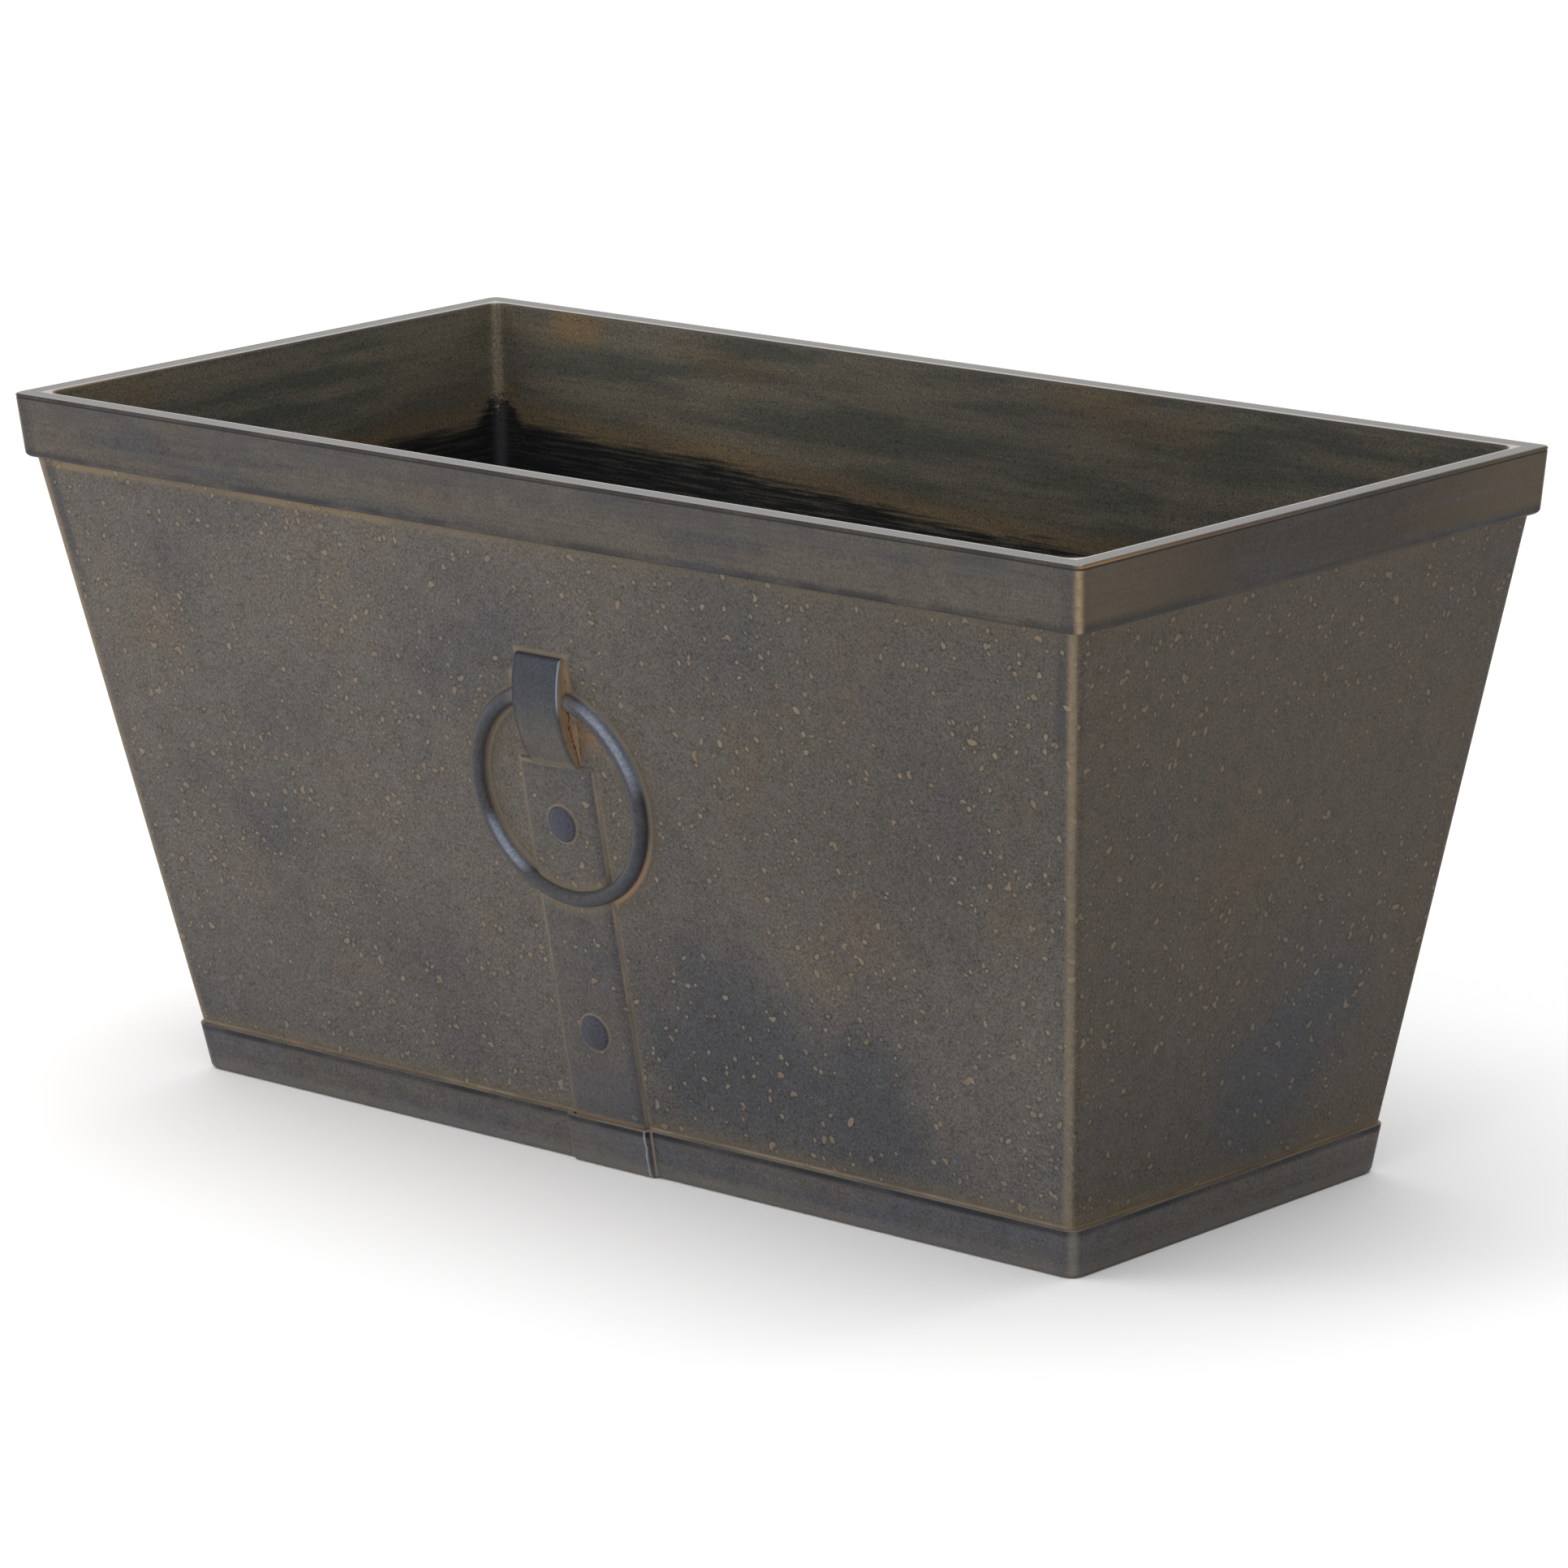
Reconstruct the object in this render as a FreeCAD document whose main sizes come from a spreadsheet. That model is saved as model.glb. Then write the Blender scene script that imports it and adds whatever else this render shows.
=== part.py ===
import FreeCAD, Part
import math
import os
import Sketcher

# A trough planter of antiqued resin: a tapered tub with a rim band, a foot band, and on both long
# faces a strap that narrows into a loop and holds a ring. Two rubber plugs close the drain holes.
# Origin at the middle of the foot, +X along the trough, -Y towards the front, +Z up. Millimetres.

doc = FreeCAD.newDocument("trough_planter")

# Driving dimensions, grouped by piece
SIZES = {
    # whole trough
    "overall_length": 610,
    "overall_depth": 300,
    "overall_height": 308,
    # tub
    "wall_lean": 9.7,
    "wall_width": 9.5,
    "corner_radius": 4,
    "inner_corner_radius": 7,
    "floor_top": 14,
    "floor_bevel": 5,
    "foot_recess": 5,
    "foot_width": 18,
    "drain_spacing": 260,
    "drain_radius": 10,
    # rim band
    "rim_height": 28.2,
    "rim_cap": 4,
    "rim_top_out": 1.25,
    "rim_foot_out": 3.5,
    "rim_foot_round": 1.2,
    "rim_edge_round": 0.7,
    # foot band
    "band_height": 21.5,
    "band_foot_out": 2.3,
    "band_top_out": 1.9,
    "band_round": 0.7,
    "step_side": 2.2,
    # strap and loop
    "strap_width": 42,
    "strap_proud": 2.4,
    "strap_round": 0.7,
    "loop_width": 26.5,
    "loop_length": 47.5,
    "loop_crown": 6.4,
    "loop_round": 0.7,
    "loop_above_ring": 16,
    # ring
    "ring_radius": 46,
    "ring_bar_radius": 4.1,
    "ring_proud": 6.9,
    # rivets
    "rivet_radius": 8.6,
    "rivet_edge": 0.8,
    "rivet_crown": 1.5,
    # drain plugs
    "plug_clearance": 0.08,
    "plug_tip_out": 1,
    "plug_tip_chamfer": 2,
    "plug_flange_radius": 16,
    "plug_flange": 3,
    "plug_stem_radius": 4,
    "plug_stem": 5,
    "plug_knob_radius": 7,
    "plug_knob": 4,
    "plug_round": 1.2,
    # how far every cutter runs past what it cuts
    "overrun": 5,
    # heights on the wall, as shares of the overall height
    "ring_centre_share": 0.547,
    "upper_rivet_share": 0.5065,
    "lower_rivet_share": 0.203,
}

sheet = doc.addObject("Spreadsheet::Sheet", "Sheet")
for row, (word, number) in enumerate(SIZES.items(), start=1):
    sheet.set(f"A{row}", word)
    sheet.set(f"B{row}", str(number))
    sheet.setAlias(f"B{row}", word)
doc.recompute()


def value(rule):
    """The number that a rule over the sheet's cells comes to."""
    result = sheet.evalExpression(rule)
    return float(getattr(result, "Value", result))


# Rules for the leaning wall, the same on all four sides
LEAN = "tan(Sheet.wall_lean)"
SLOPE = "cos(Sheet.wall_lean)"
TOP = "Sheet.overall_height"
ABOVE = f"({TOP} + Sheet.overrun)"
INSIDE = "-Sheet.wall_width"
RIM_EDGE = f"({TOP} - Sheet.rim_edge_round)"
RIM_FOOT = f"({TOP} - Sheet.rim_height)"
CAP_FOOT = f"({TOP} - Sheet.rim_cap)"
WALL_FOOT_X = f"(Sheet.overall_length / 2 - Sheet.rim_top_out - {RIM_EDGE} * {LEAN})"
WALL_FOOT_Y = f"(Sheet.overall_depth / 2 - Sheet.rim_top_out - {RIM_EDGE} * {LEAN})"


def wall_x(height, out="0"):
    """Half the trough's length at a height, on a face that stands out from the wall."""
    return f"({WALL_FOOT_X} + ({height}) * {LEAN} + ({out}))"


def wall_y(height, out="0"):
    """Half the trough's depth at a height, on a face that stands out from the wall."""
    return f"({WALL_FOOT_Y} + ({height}) * {LEAN} + ({out}))"


# Distances up the wall's slope
RING_CENTRE = f"({TOP} * Sheet.ring_centre_share / {SLOPE})"
LOOP_TOP = f"({RING_CENTRE} + Sheet.ring_radius + Sheet.loop_above_ring)"
STRAP_TOP = f"({LOOP_TOP} - Sheet.loop_length)"


def new_body(label, x="0", up_slope=None, proud="0"):
    """A body that stands on the floor, or lies on the front wall if a place up its slope is given."""
    body = doc.addObject("PartDesign::Body", label)
    body.Label = label
    if up_slope is None:
        body.setExpression("Placement.Base.x", x)
    else:
        lay_on_wall(body, up_slope, proud)
    return body


def lay_on_wall(thing, up_slope, proud):
    """Turns an object so that its own Y runs up the front wall and its Z points out of it."""
    thing.Placement.Rotation = FreeCAD.Rotation(FreeCAD.Vector(1, 0, 0), 90)
    thing.setExpression("Placement.Rotation.Angle", "90 + Sheet.wall_lean")
    forward = f"{WALL_FOOT_Y} + ({up_slope}) * sin(Sheet.wall_lean) + ({proud}) * {SLOPE}"
    thing.setExpression("Placement.Base.y", f"-({forward})")
    thing.setExpression("Placement.Base.z", f"({up_slope}) * {SLOPE} - ({proud}) * sin(Sheet.wall_lean)")


def new_sketch(body, name, role="XY_Plane", lift="0"):
    """A sketch on one of the body's own planes, lifted off it by a rule."""
    sketch = body.newObject("Sketcher::SketchObject", f"{body.Label}_{name}")
    plane = next(item for item in body.Origin.OriginFeatures if item.Role == role)
    sketch.AttachmentSupport = [(plane, "")]
    sketch.MapMode = "FlatFace"
    sketch.setExpression("AttachmentOffset.Base.z", lift)
    return sketch


def hold(sketch, constraint, rule):
    """Adds a constraint whose size follows a rule."""
    number = sketch.addConstraint(constraint)
    sketch.setExpression(f"Constraints[{number}]", rule)


def hold_point(sketch, item, end, across, up):
    """Holds a point at two rules, measured from the sketch's origin."""
    for kind, rule, axis in (("DistanceX", across, -2), ("DistanceY", up, -1)):
        if rule == "0":
            sketch.addConstraint(Sketcher.Constraint("PointOnObject", item, end, axis))
        else:
            hold(sketch, Sketcher.Constraint(kind, -1, 1, item, end, value(rule)), rule)


def outline(sketch, corners, bow=None):
    """Draws a closed outline through corners given as pairs of rules. With a radius rule for bow,
    the third side is an arc that swells out of the outline, whose corners then run anticlockwise."""
    points = [FreeCAD.Vector(value(across), value(up), 0) for across, up in corners]
    first = sketch.GeometryCount
    for step, point in enumerate(points):
        after = points[(step + 1) % len(points)]
        if bow and step == 2:
            half = (after - point) / 2
            inward = FreeCAD.Vector(-half.y, half.x, 0).normalize()
            deep = math.sqrt(value(bow) ** 2 - half.Length ** 2)
            middle = point + half + inward * deep
            ends = [math.atan2(spot.y - middle.y, spot.x - middle.x) for spot in (point, after)]
            whole = Part.Circle(middle, FreeCAD.Vector(0, 0, 1), value(bow))
            sketch.addGeometry(Part.ArcOfCircle(whole, *ends), False)
            hold(sketch, Sketcher.Constraint("Radius", first + step, value(bow)), bow)
        else:
            sketch.addGeometry(Part.LineSegment(point, after), False)
    for step, (across, up) in enumerate(corners):
        before = first + (step - 1) % len(points)
        sketch.addConstraint(Sketcher.Constraint("Coincident", before, 2, first + step, 1))
        hold_point(sketch, first + step, 1, across, up)


def circle(sketch, across, up, radius):
    """Draws a circle at two rules."""
    middle = FreeCAD.Vector(value(across), value(up), 0)
    item = sketch.addGeometry(Part.Circle(middle, FreeCAD.Vector(0, 0, 1), value(radius)), False)
    hold_point(sketch, item, 3, across, up)
    hold(sketch, Sketcher.Constraint("Radius", item, value(radius)), radius)


def rounded_rectangle(body, name, half_x, half_y, radius, lift="0"):
    """Draws a rectangle with round corners about the origin: four lines and four tangent arcs."""
    sketch = new_sketch(body, name, lift=lift)
    along, deep, turn = value(half_x), value(half_y), value(radius)
    quarter = math.pi / 2
    for side in range(4):
        reach, half = (deep, along - turn) if side % 2 == 0 else (along, deep - turn)
        facing = FreeCAD.Rotation(FreeCAD.Vector(0, 0, 1), 90 * side)
        start = facing.multVec(FreeCAD.Vector(-half, -reach, 0))
        end = facing.multVec(FreeCAD.Vector(half, -reach, 0))
        middle = facing.multVec(FreeCAD.Vector(half, turn - reach, 0))
        corner = Part.Circle(middle, FreeCAD.Vector(0, 0, 1), turn)
        sketch.addGeometry(Part.LineSegment(start, end), False)
        sketch.addGeometry(Part.ArcOfCircle(corner, quarter * (side - 1), quarter * side), False)
    for side in range(4):
        line, arc, after = 2 * side, 2 * side + 1, (2 * side + 2) % 8
        sketch.addConstraint(Sketcher.Constraint("Tangent", line, 2, arc, 1))
        sketch.addConstraint(Sketcher.Constraint("Tangent", arc, 2, after, 1))
        level = "Horizontal" if side % 2 == 0 else "Vertical"
        sketch.addConstraint(Sketcher.Constraint(level, line))
    for arc in (3, 5, 7):
        sketch.addConstraint(Sketcher.Constraint("Equal", 1, arc))
    hold(sketch, Sketcher.Constraint("Radius", 1, turn), radius)
    hold(sketch, Sketcher.Constraint("DistanceY", -1, 1, 0, 1, -deep), f"-{half_y}")
    hold(sketch, Sketcher.Constraint("DistanceX", -1, 1, 2, 1, along), half_x)
    hold(sketch, Sketcher.Constraint("DistanceY", -1, 1, 4, 1, deep), half_y)
    hold(sketch, Sketcher.Constraint("DistanceX", -1, 1, 6, 1, -along), f"-{half_x}")
    return sketch


def leaning_block(body, name, kind, radius, *levels):
    """Adds or cuts the block through rounded rectangles, each at a height and out from the wall."""
    sketches = []
    for step, (height, out) in enumerate(levels):
        across, deep = wall_x(height, out), wall_y(height, out)
        sketches.append(rounded_rectangle(body, f"{name}_{step}", across, deep, radius, height))
    loft = body.newObject(kind, f"{body.Label}_{name}")
    loft.Profile = sketches[0]
    loft.Sections = sketches[1:]
    loft.Ruled = True
    doc.recompute()


def run_across(body, kind, sketch, width):
    """Pads or pockets a side outline, half its width to each side of the middle."""
    feature = body.newObject(kind, f"{sketch.Label}_run")
    feature.Profile = sketch
    feature.SideType = "Symmetric"
    feature.setExpression("Length", width)
    doc.recompute()


def cut_upwards(body, sketch, depth):
    """Pockets an outline from the ground up."""
    pocket = body.newObject("PartDesign::Pocket", f"{sketch.Label}_cut")
    pocket.Profile = sketch
    pocket.Reversed = True
    pocket.setExpression("Length", depth)
    doc.recompute()


def spin(body, sketch):
    """Turns a half outline about its upright axis."""
    turned = body.newObject("PartDesign::Revolution", f"{sketch.Label}_turned")
    turned.Profile = sketch
    turned.ReferenceAxis = (sketch, ["V_Axis"])
    doc.recompute()


def ease_edges(body, radius, wanted):
    """Rounds those edges of the body's last feature whose end points pass a test."""
    base = body.Tip
    ends = [[vertex.Point for vertex in edge.Vertexes] for edge in base.Shape.Edges]
    fillet = body.newObject("PartDesign::Fillet", f"{body.Label}_eased")
    fillet.Base = (base, [f"Edge{n}" for n, points in enumerate(ends, start=1) if wanted(points)])
    fillet.setExpression("Radius", radius)
    doc.recompute()


def cut_off(label, piece, tool):
    """What is left of a piece outside a neighbour."""
    rest = doc.addObject("Part::Cut", label)
    rest.Base = piece
    rest.Tool = tool
    doc.recompute()
    return rest


def near(length, rule):
    """Whether a length is what a rule comes to, to a millionth of the trough's length."""
    return abs(length - value(rule)) < value("Sheet.overall_length") * 1e-6


ADD_LOFT = "PartDesign::AdditiveLoft"
CUT_LOFT = "PartDesign::SubtractiveLoft"

# Tub: four leaning walls round a floor that stands on a foot ring and has two drain holes
tub = new_body("tub")
leaning_block(tub, "wall", ADD_LOFT, "Sheet.corner_radius", ("0", "0"), (CAP_FOOT, "0"))
leaning_block(
    tub, "soil", CUT_LOFT, "Sheet.inner_corner_radius",
    ("Sheet.floor_top", f"{INSIDE} - Sheet.floor_bevel"),
    ("(Sheet.floor_top + Sheet.floor_bevel)", INSIDE),
    (ABOVE, INSIDE),
)
recess_x = wall_x("0", "-Sheet.foot_width")
recess_y = wall_y("0", "-Sheet.foot_width")
recess = rounded_rectangle(tub, "recess", recess_x, recess_y, "Sheet.inner_corner_radius")
cut_upwards(tub, recess, "Sheet.foot_recess")
drains = new_sketch(tub, "drains")
circle(drains, "-Sheet.drain_spacing / 2", "0", "Sheet.drain_radius")
circle(drains, "Sheet.drain_spacing / 2", "0", "Sheet.drain_radius")
cut_upwards(tub, drains, "Sheet.floor_top + Sheet.overrun")

# Rim band: a collar round the wall's top, closed by a cap whose top is the pale flat land
rim_band = new_body("rim_band")
leaning_block(
    rim_band, "face", ADD_LOFT, "Sheet.corner_radius",
    (RIM_FOOT, "Sheet.rim_foot_out - Sheet.rim_foot_round"),
    (f"({RIM_FOOT} + Sheet.rim_foot_round)", "Sheet.rim_foot_out"),
    (RIM_EDGE, "Sheet.rim_top_out"),
    (TOP, f"Sheet.rim_top_out - Sheet.rim_edge_round * (1 + {LEAN})"),
)
BELOW_RIM = f"({RIM_FOOT} - Sheet.overrun)"
leaning_block(rim_band, "seat", CUT_LOFT, "Sheet.corner_radius", (BELOW_RIM, "0"), (CAP_FOOT, "0"))
leaning_block(
    rim_band, "mouth", CUT_LOFT, "Sheet.inner_corner_radius",
    (f"({CAP_FOOT} - Sheet.overrun)", INSIDE),
    (RIM_EDGE, INSIDE),
    (ABOVE, f"{INSIDE} + Sheet.overrun + Sheet.rim_edge_round"),
)

# Foot band: a collar round the wall's foot that steps out over the foot of each strap
STRAP_OUT = f"(Sheet.strap_proud / {SLOPE})"
STEP_OUT = f"({STRAP_OUT} + Sheet.band_top_out)"
STEP_SHY = f"({STEP_OUT} - Sheet.band_round)"
BAND_EDGE = "(Sheet.band_height - Sheet.band_round)"
foot_band = new_body("foot_band")
leaning_block(
    foot_band, "face", ADD_LOFT, "Sheet.corner_radius",
    ("0", "Sheet.band_foot_out - Sheet.band_round"),
    ("Sheet.band_round", "Sheet.band_foot_out"),
    (BAND_EDGE, "Sheet.band_top_out"),
    ("Sheet.band_height", "Sheet.band_top_out - Sheet.band_round"),
)
step_outline = new_sketch(foot_band, "step", "YZ_Plane")
strap_room = new_sketch(foot_band, "strap_room", "YZ_Plane")
ABOVE_BAND = "(Sheet.band_height + Sheet.overrun)"
for side in ("-", ""):
    outline(step_outline, [
        (side + wall_y("0"), "0"),
        (side + wall_y("0", STEP_SHY), "0"),
        (side + wall_y("Sheet.band_round", STEP_OUT), "Sheet.band_round"),
        (side + wall_y(BAND_EDGE, STEP_OUT), BAND_EDGE),
        (side + wall_y("Sheet.band_height", STEP_SHY), "Sheet.band_height"),
        (side + wall_y("Sheet.band_height"), "Sheet.band_height"),
    ])
    outline(strap_room, [
        (side + wall_y("-Sheet.overrun"), "-Sheet.overrun"),
        (side + wall_y("-Sheet.overrun", STRAP_OUT), "-Sheet.overrun"),
        (side + wall_y(ABOVE_BAND, STRAP_OUT), ABOVE_BAND),
        (side + wall_y(ABOVE_BAND), ABOVE_BAND),
    ])
run_across(foot_band, "PartDesign::Pad", step_outline, "Sheet.strap_width + 2 * Sheet.step_side")
leaning_block(foot_band, "seat", CUT_LOFT, "Sheet.corner_radius", ("-Sheet.overrun", "0"), (ABOVE_BAND, "0"))
run_across(foot_band, "PartDesign::Pocket", strap_room, "Sheet.strap_width")

# Strap: a flat strip up the wall, with square shoulders where it narrows into the loop
front_strap = new_body("front_strap", up_slope="0")
strap_side = new_sketch(front_strap, "side", "YZ_Plane")
outline(strap_side, [
    ("0", "0"),
    (f"(Sheet.strap_proud * {LEAN})", "Sheet.strap_proud"),
    (STRAP_TOP, "Sheet.strap_proud"),
    (STRAP_TOP, "0"),
])
run_across(front_strap, "PartDesign::Pad", strap_side, "Sheet.strap_width")
ease_edges(
    front_strap, "Sheet.strap_round",
    lambda points: all(near(point.z, "Sheet.strap_proud") for point in points)
    and max(point.y for point in points) > value("Sheet.strap_proud"),
)

# Ring: a round bar bent to a circle, sunk a little into the wall and notched over the strap
ring_bar = doc.addObject("Part::Torus", "ring_bar")
ring_bar.setExpression("Radius1", "Sheet.ring_radius")
ring_bar.setExpression("Radius2", "Sheet.ring_bar_radius")
lay_on_wall(ring_bar, RING_CENTRE, "Sheet.ring_proud - Sheet.ring_bar_radius")
ring_off_wall = cut_off("ring_off_wall", ring_bar, tub)
front_ring = cut_off("front_ring", ring_off_wall, front_strap)

# Loop: the narrow end of the strap, arched over the ring and closed down to the wall
loop_blank = new_body("loop_blank", up_slope=STRAP_TOP)
loop_side = new_sketch(loop_blank, "side", "YZ_Plane")
outline(loop_side, [
    ("0", "0"),
    ("Sheet.loop_length", "0"),
    ("Sheet.loop_length", "Sheet.strap_proud"),
    ("0", "Sheet.strap_proud"),
], bow="((Sheet.loop_length / 2) ^ 2 + Sheet.loop_crown ^ 2) / (2 * Sheet.loop_crown)")
run_across(loop_blank, "PartDesign::Pad", loop_side, "Sheet.loop_width")
ease_edges(
    loop_blank, "Sheet.loop_round",
    lambda points: all(near(point.z, "Sheet.strap_proud") for point in points)
    and near(abs(points[0].y - points[-1].y), "Sheet.loop_length"),
)
front_loop = cut_off("front_loop", loop_blank, front_ring)


# Rivets: low domes that seat on the strap's face
def rivet(label, height_share):
    head = new_body(label, up_slope=f"{TOP} * {height_share} / {SLOPE}", proud="Sheet.strap_proud")
    half = new_sketch(head, "half", "XZ_Plane")
    outline(half, [
        ("0", "0"),
        ("Sheet.rivet_radius", "0"),
        ("Sheet.rivet_radius", "Sheet.rivet_edge"),
        ("0", "(Sheet.rivet_edge + Sheet.rivet_crown)"),
    ], bow="(Sheet.rivet_radius ^ 2 + Sheet.rivet_crown ^ 2) / (2 * Sheet.rivet_crown)")
    spin(head, half)
    return head


front_pieces = {
    "strap": front_strap,
    "ring": front_ring,
    "loop": front_loop,
    "rivet_upper": rivet("front_rivet_upper", "Sheet.upper_rivet_share"),
    "rivet_lower": rivet("front_rivet_lower", "Sheet.lower_rivet_share"),
}

# Back: the same five pieces, mirrored
nodes = [tub, rim_band, foot_band, *front_pieces.values()]
for word, piece in front_pieces.items():
    twin = doc.addObject("Part::Mirroring", f"back_{word}")
    twin.Source = piece
    twin.Normal = FreeCAD.Vector(0, 1, 0)
    nodes.append(twin)

# Drain plugs: soft rubber, each a shank in its hole, a flange on the floor and a knob to pull
FLANGE_TOP = "(Sheet.floor_top + Sheet.plug_flange)"
STEM_TOP = f"({FLANGE_TOP} + Sheet.plug_stem)"
KNOB_TOP = f"({STEM_TOP} + Sheet.plug_knob)"
TIP = "(Sheet.foot_recess - Sheet.plug_tip_out)"
SHANK = "(Sheet.drain_radius - Sheet.plug_clearance)"
for label, side in (("drain_plug_left", "-"), ("drain_plug_right", "")):
    plug = new_body(label, x=f"{side}Sheet.drain_spacing / 2")
    half = new_sketch(plug, "half", "XZ_Plane")
    outline(half, [
        ("0", TIP),
        (f"({SHANK} - Sheet.plug_tip_chamfer)", TIP),
        (SHANK, f"({TIP} + Sheet.plug_tip_chamfer)"),
        (SHANK, "Sheet.floor_top"),
        ("Sheet.plug_flange_radius", "Sheet.floor_top"),
        ("Sheet.plug_flange_radius", FLANGE_TOP),
        ("Sheet.plug_stem_radius", FLANGE_TOP),
        ("Sheet.plug_stem_radius", STEM_TOP),
        ("Sheet.plug_knob_radius", STEM_TOP),
        ("Sheet.plug_knob_radius", KNOB_TOP),
        ("0", KNOB_TOP),
    ])
    spin(plug, half)
    ease_edges(
        plug, "Sheet.plug_round",
        lambda points: near(points[0].z, FLANGE_TOP) and near(points[0].x, "Sheet.plug_flange_radius")
        or near(points[0].z, KNOB_TOP),
    )
    nodes.append(plug)

doc.recompute()
for item in doc.Objects:
    if "Invalid" in item.State or "Error" in item.State:
        raise SystemExit(f"{item.Label} did not build: {item.State}")
for node in nodes:
    if node.Shape.isNull() or not node.Shape.isValid() or len(node.Shape.Solids) != 1:
        raise SystemExit(f"{node.Label} is not one sound solid")
os.makedirs("parts", exist_ok=True)
for node in nodes:
    node.Shape.exportStep(f"parts/{node.Label}.step")
    print(f"{node.Label}: {node.Shape.Volume:.0f} cubic millimetres")
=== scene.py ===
import math

import bmesh
import bpy
from mathutils import Matrix, Vector


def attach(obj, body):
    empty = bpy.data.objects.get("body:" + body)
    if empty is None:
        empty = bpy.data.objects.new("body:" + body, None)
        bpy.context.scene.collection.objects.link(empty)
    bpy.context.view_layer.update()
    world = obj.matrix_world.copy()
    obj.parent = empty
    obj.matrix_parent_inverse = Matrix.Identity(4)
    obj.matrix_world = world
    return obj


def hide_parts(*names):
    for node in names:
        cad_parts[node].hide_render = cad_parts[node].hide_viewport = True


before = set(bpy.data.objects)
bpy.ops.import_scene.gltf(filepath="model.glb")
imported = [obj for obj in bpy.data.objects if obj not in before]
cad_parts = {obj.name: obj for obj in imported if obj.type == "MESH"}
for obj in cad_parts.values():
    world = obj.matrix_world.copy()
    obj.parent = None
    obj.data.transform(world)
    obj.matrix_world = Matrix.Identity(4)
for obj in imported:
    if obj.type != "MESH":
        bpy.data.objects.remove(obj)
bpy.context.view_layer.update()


# Camera: the planter is seen from the front right and a little above through a long lens, which is
# held slightly off level. Its place comes from fitting the rim's and the foot's corners.
CAMERA_TARGET = Vector((0.0101, 0, 0.1501))
CAMERA_TURN = math.radians(42.79)
CAMERA_RISE = math.radians(13.62)
CAMERA_ROLL = math.radians(-1.24)
CAMERA_DISTANCE = 3.149
CAMERA_LENS = 169.1
CAMERA_REACH = 100

camera = bpy.data.objects.new("camera", bpy.data.cameras.new("camera"))
camera.data.lens = CAMERA_LENS
camera.data.clip_end = CAMERA_REACH
backwards = Vector((
    math.sin(CAMERA_TURN) * math.cos(CAMERA_RISE),
    -math.cos(CAMERA_TURN) * math.cos(CAMERA_RISE),
    math.sin(CAMERA_RISE),
))
camera.matrix_world = (
    Matrix.Translation(CAMERA_TARGET + backwards * CAMERA_DISTANCE)
    @ backwards.to_track_quat("Z", "Y").to_matrix().to_4x4()
    @ Matrix.Rotation(CAMERA_ROLL, 4, "Z")
)
bpy.context.scene.collection.objects.link(camera)
bpy.context.scene.camera = camera
bpy.context.scene.view_settings.view_transform = "Standard"


# Studio: a white room and a plain pale floor, lit by softboxes and a wide, soft sun from overhead.
# The glint box, up on the right, adds real reflections to the bright streaks on the ring's round
# bar, which its paint also carries as a painted highlight. The fill box at the back serves the views
# from behind and isn't needed from the front.
SUN_POWER = 1.75
SUN_WIDTH = math.radians(60)
FLOOR_WIDTH = 60
FLOOR_SHADE = (0.95, 0.95, 0.95, 1)
FLOOR_ROUGHNESS = 0.9


def as_light(colour):
    """A colour as the eye reads it, turned into the linear one that shaders take."""
    parts = [part / 255 for part in colour]
    linear = [part / 12.92 if part < 0.04045 else ((part + 0.055) / 1.055) ** 2.4 for part in parts]
    return (*linear, 1)


def softbox(name, place, aim, size, power, colour):
    """A square area light that hangs at a place and faces an aim, in metres."""
    light = bpy.data.lights.new(name, "AREA")
    light.size = size
    light.energy = power
    light.color = as_light(colour)[:3]
    box = bpy.data.objects.new(name, light)
    facing = (Vector(place) - Vector(aim)).to_track_quat("Z", "Y")
    box.matrix_world = Matrix.Translation(place) @ facing.to_matrix().to_4x4()
    box.visible_camera = False
    bpy.context.scene.collection.objects.link(box)


def room_fade(way, start, dim):
    """The room's brightness along one way of the sky: full up to a start, then down to a share."""
    ramp = room.nodes.new("ShaderNodeMapRange")
    room.links.new(way, ramp.inputs["Value"])
    ramp.inputs["From Min"].default_value = start
    ramp.inputs["To Min"].default_value = 1.0
    ramp.inputs["To Max"].default_value = dim
    return ramp.outputs[0]


world = bpy.data.worlds.new("white_room")
bpy.context.scene.world = world
world.use_nodes = True
room = world.node_tree
sky = room.nodes.new("ShaderNodeTexCoord").outputs["Generated"]
sky_way = room.nodes.new("ShaderNodeSeparateXYZ")
room.links.new(sky, sky_way.inputs[0])
dimmed = room.nodes.new("ShaderNodeMath")
dimmed.operation = "MULTIPLY"
room.links.new(room_fade(sky_way.outputs["Z"], 0.1, 0.45), dimmed.inputs[0])
room.links.new(room_fade(sky_way.outputs["X"], 0, 0.2), dimmed.inputs[1])
room.nodes["Background"].inputs["Color"].default_value = (1, 1, 1, 1)
room.links.new(dimmed.outputs[0], room.nodes["Background"].inputs["Strength"])

softbox("key_left", (-1.15, -1.35, 0.9), (-0.1, 0, 0.15), 0.9, 9, (255, 251, 246))
softbox("key_front", (0.6, -2.9, 1.35), (0, 0, 0.15), 0.8, 8, (248, 250, 255))
overhead = bpy.data.objects.new("overhead", bpy.data.lights.new("overhead", "SUN"))
overhead.data.energy = SUN_POWER
overhead.data.angle = SUN_WIDTH
bpy.context.scene.collection.objects.link(overhead)
softbox("glint", (2, -1.4, 2.1), (0, 0, 0.15), 0.6, 22, (246, 250, 255))
softbox("fill_back", (0.7, 2.6, 1.2), (0, 0, 0.15), 1.1, 9, (252, 251, 248))
bpy.data.objects["glint"].visible_diffuse = False
for name in ("key_left", "fill_back"):
    bpy.data.objects[name].visible_glossy = False

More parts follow.
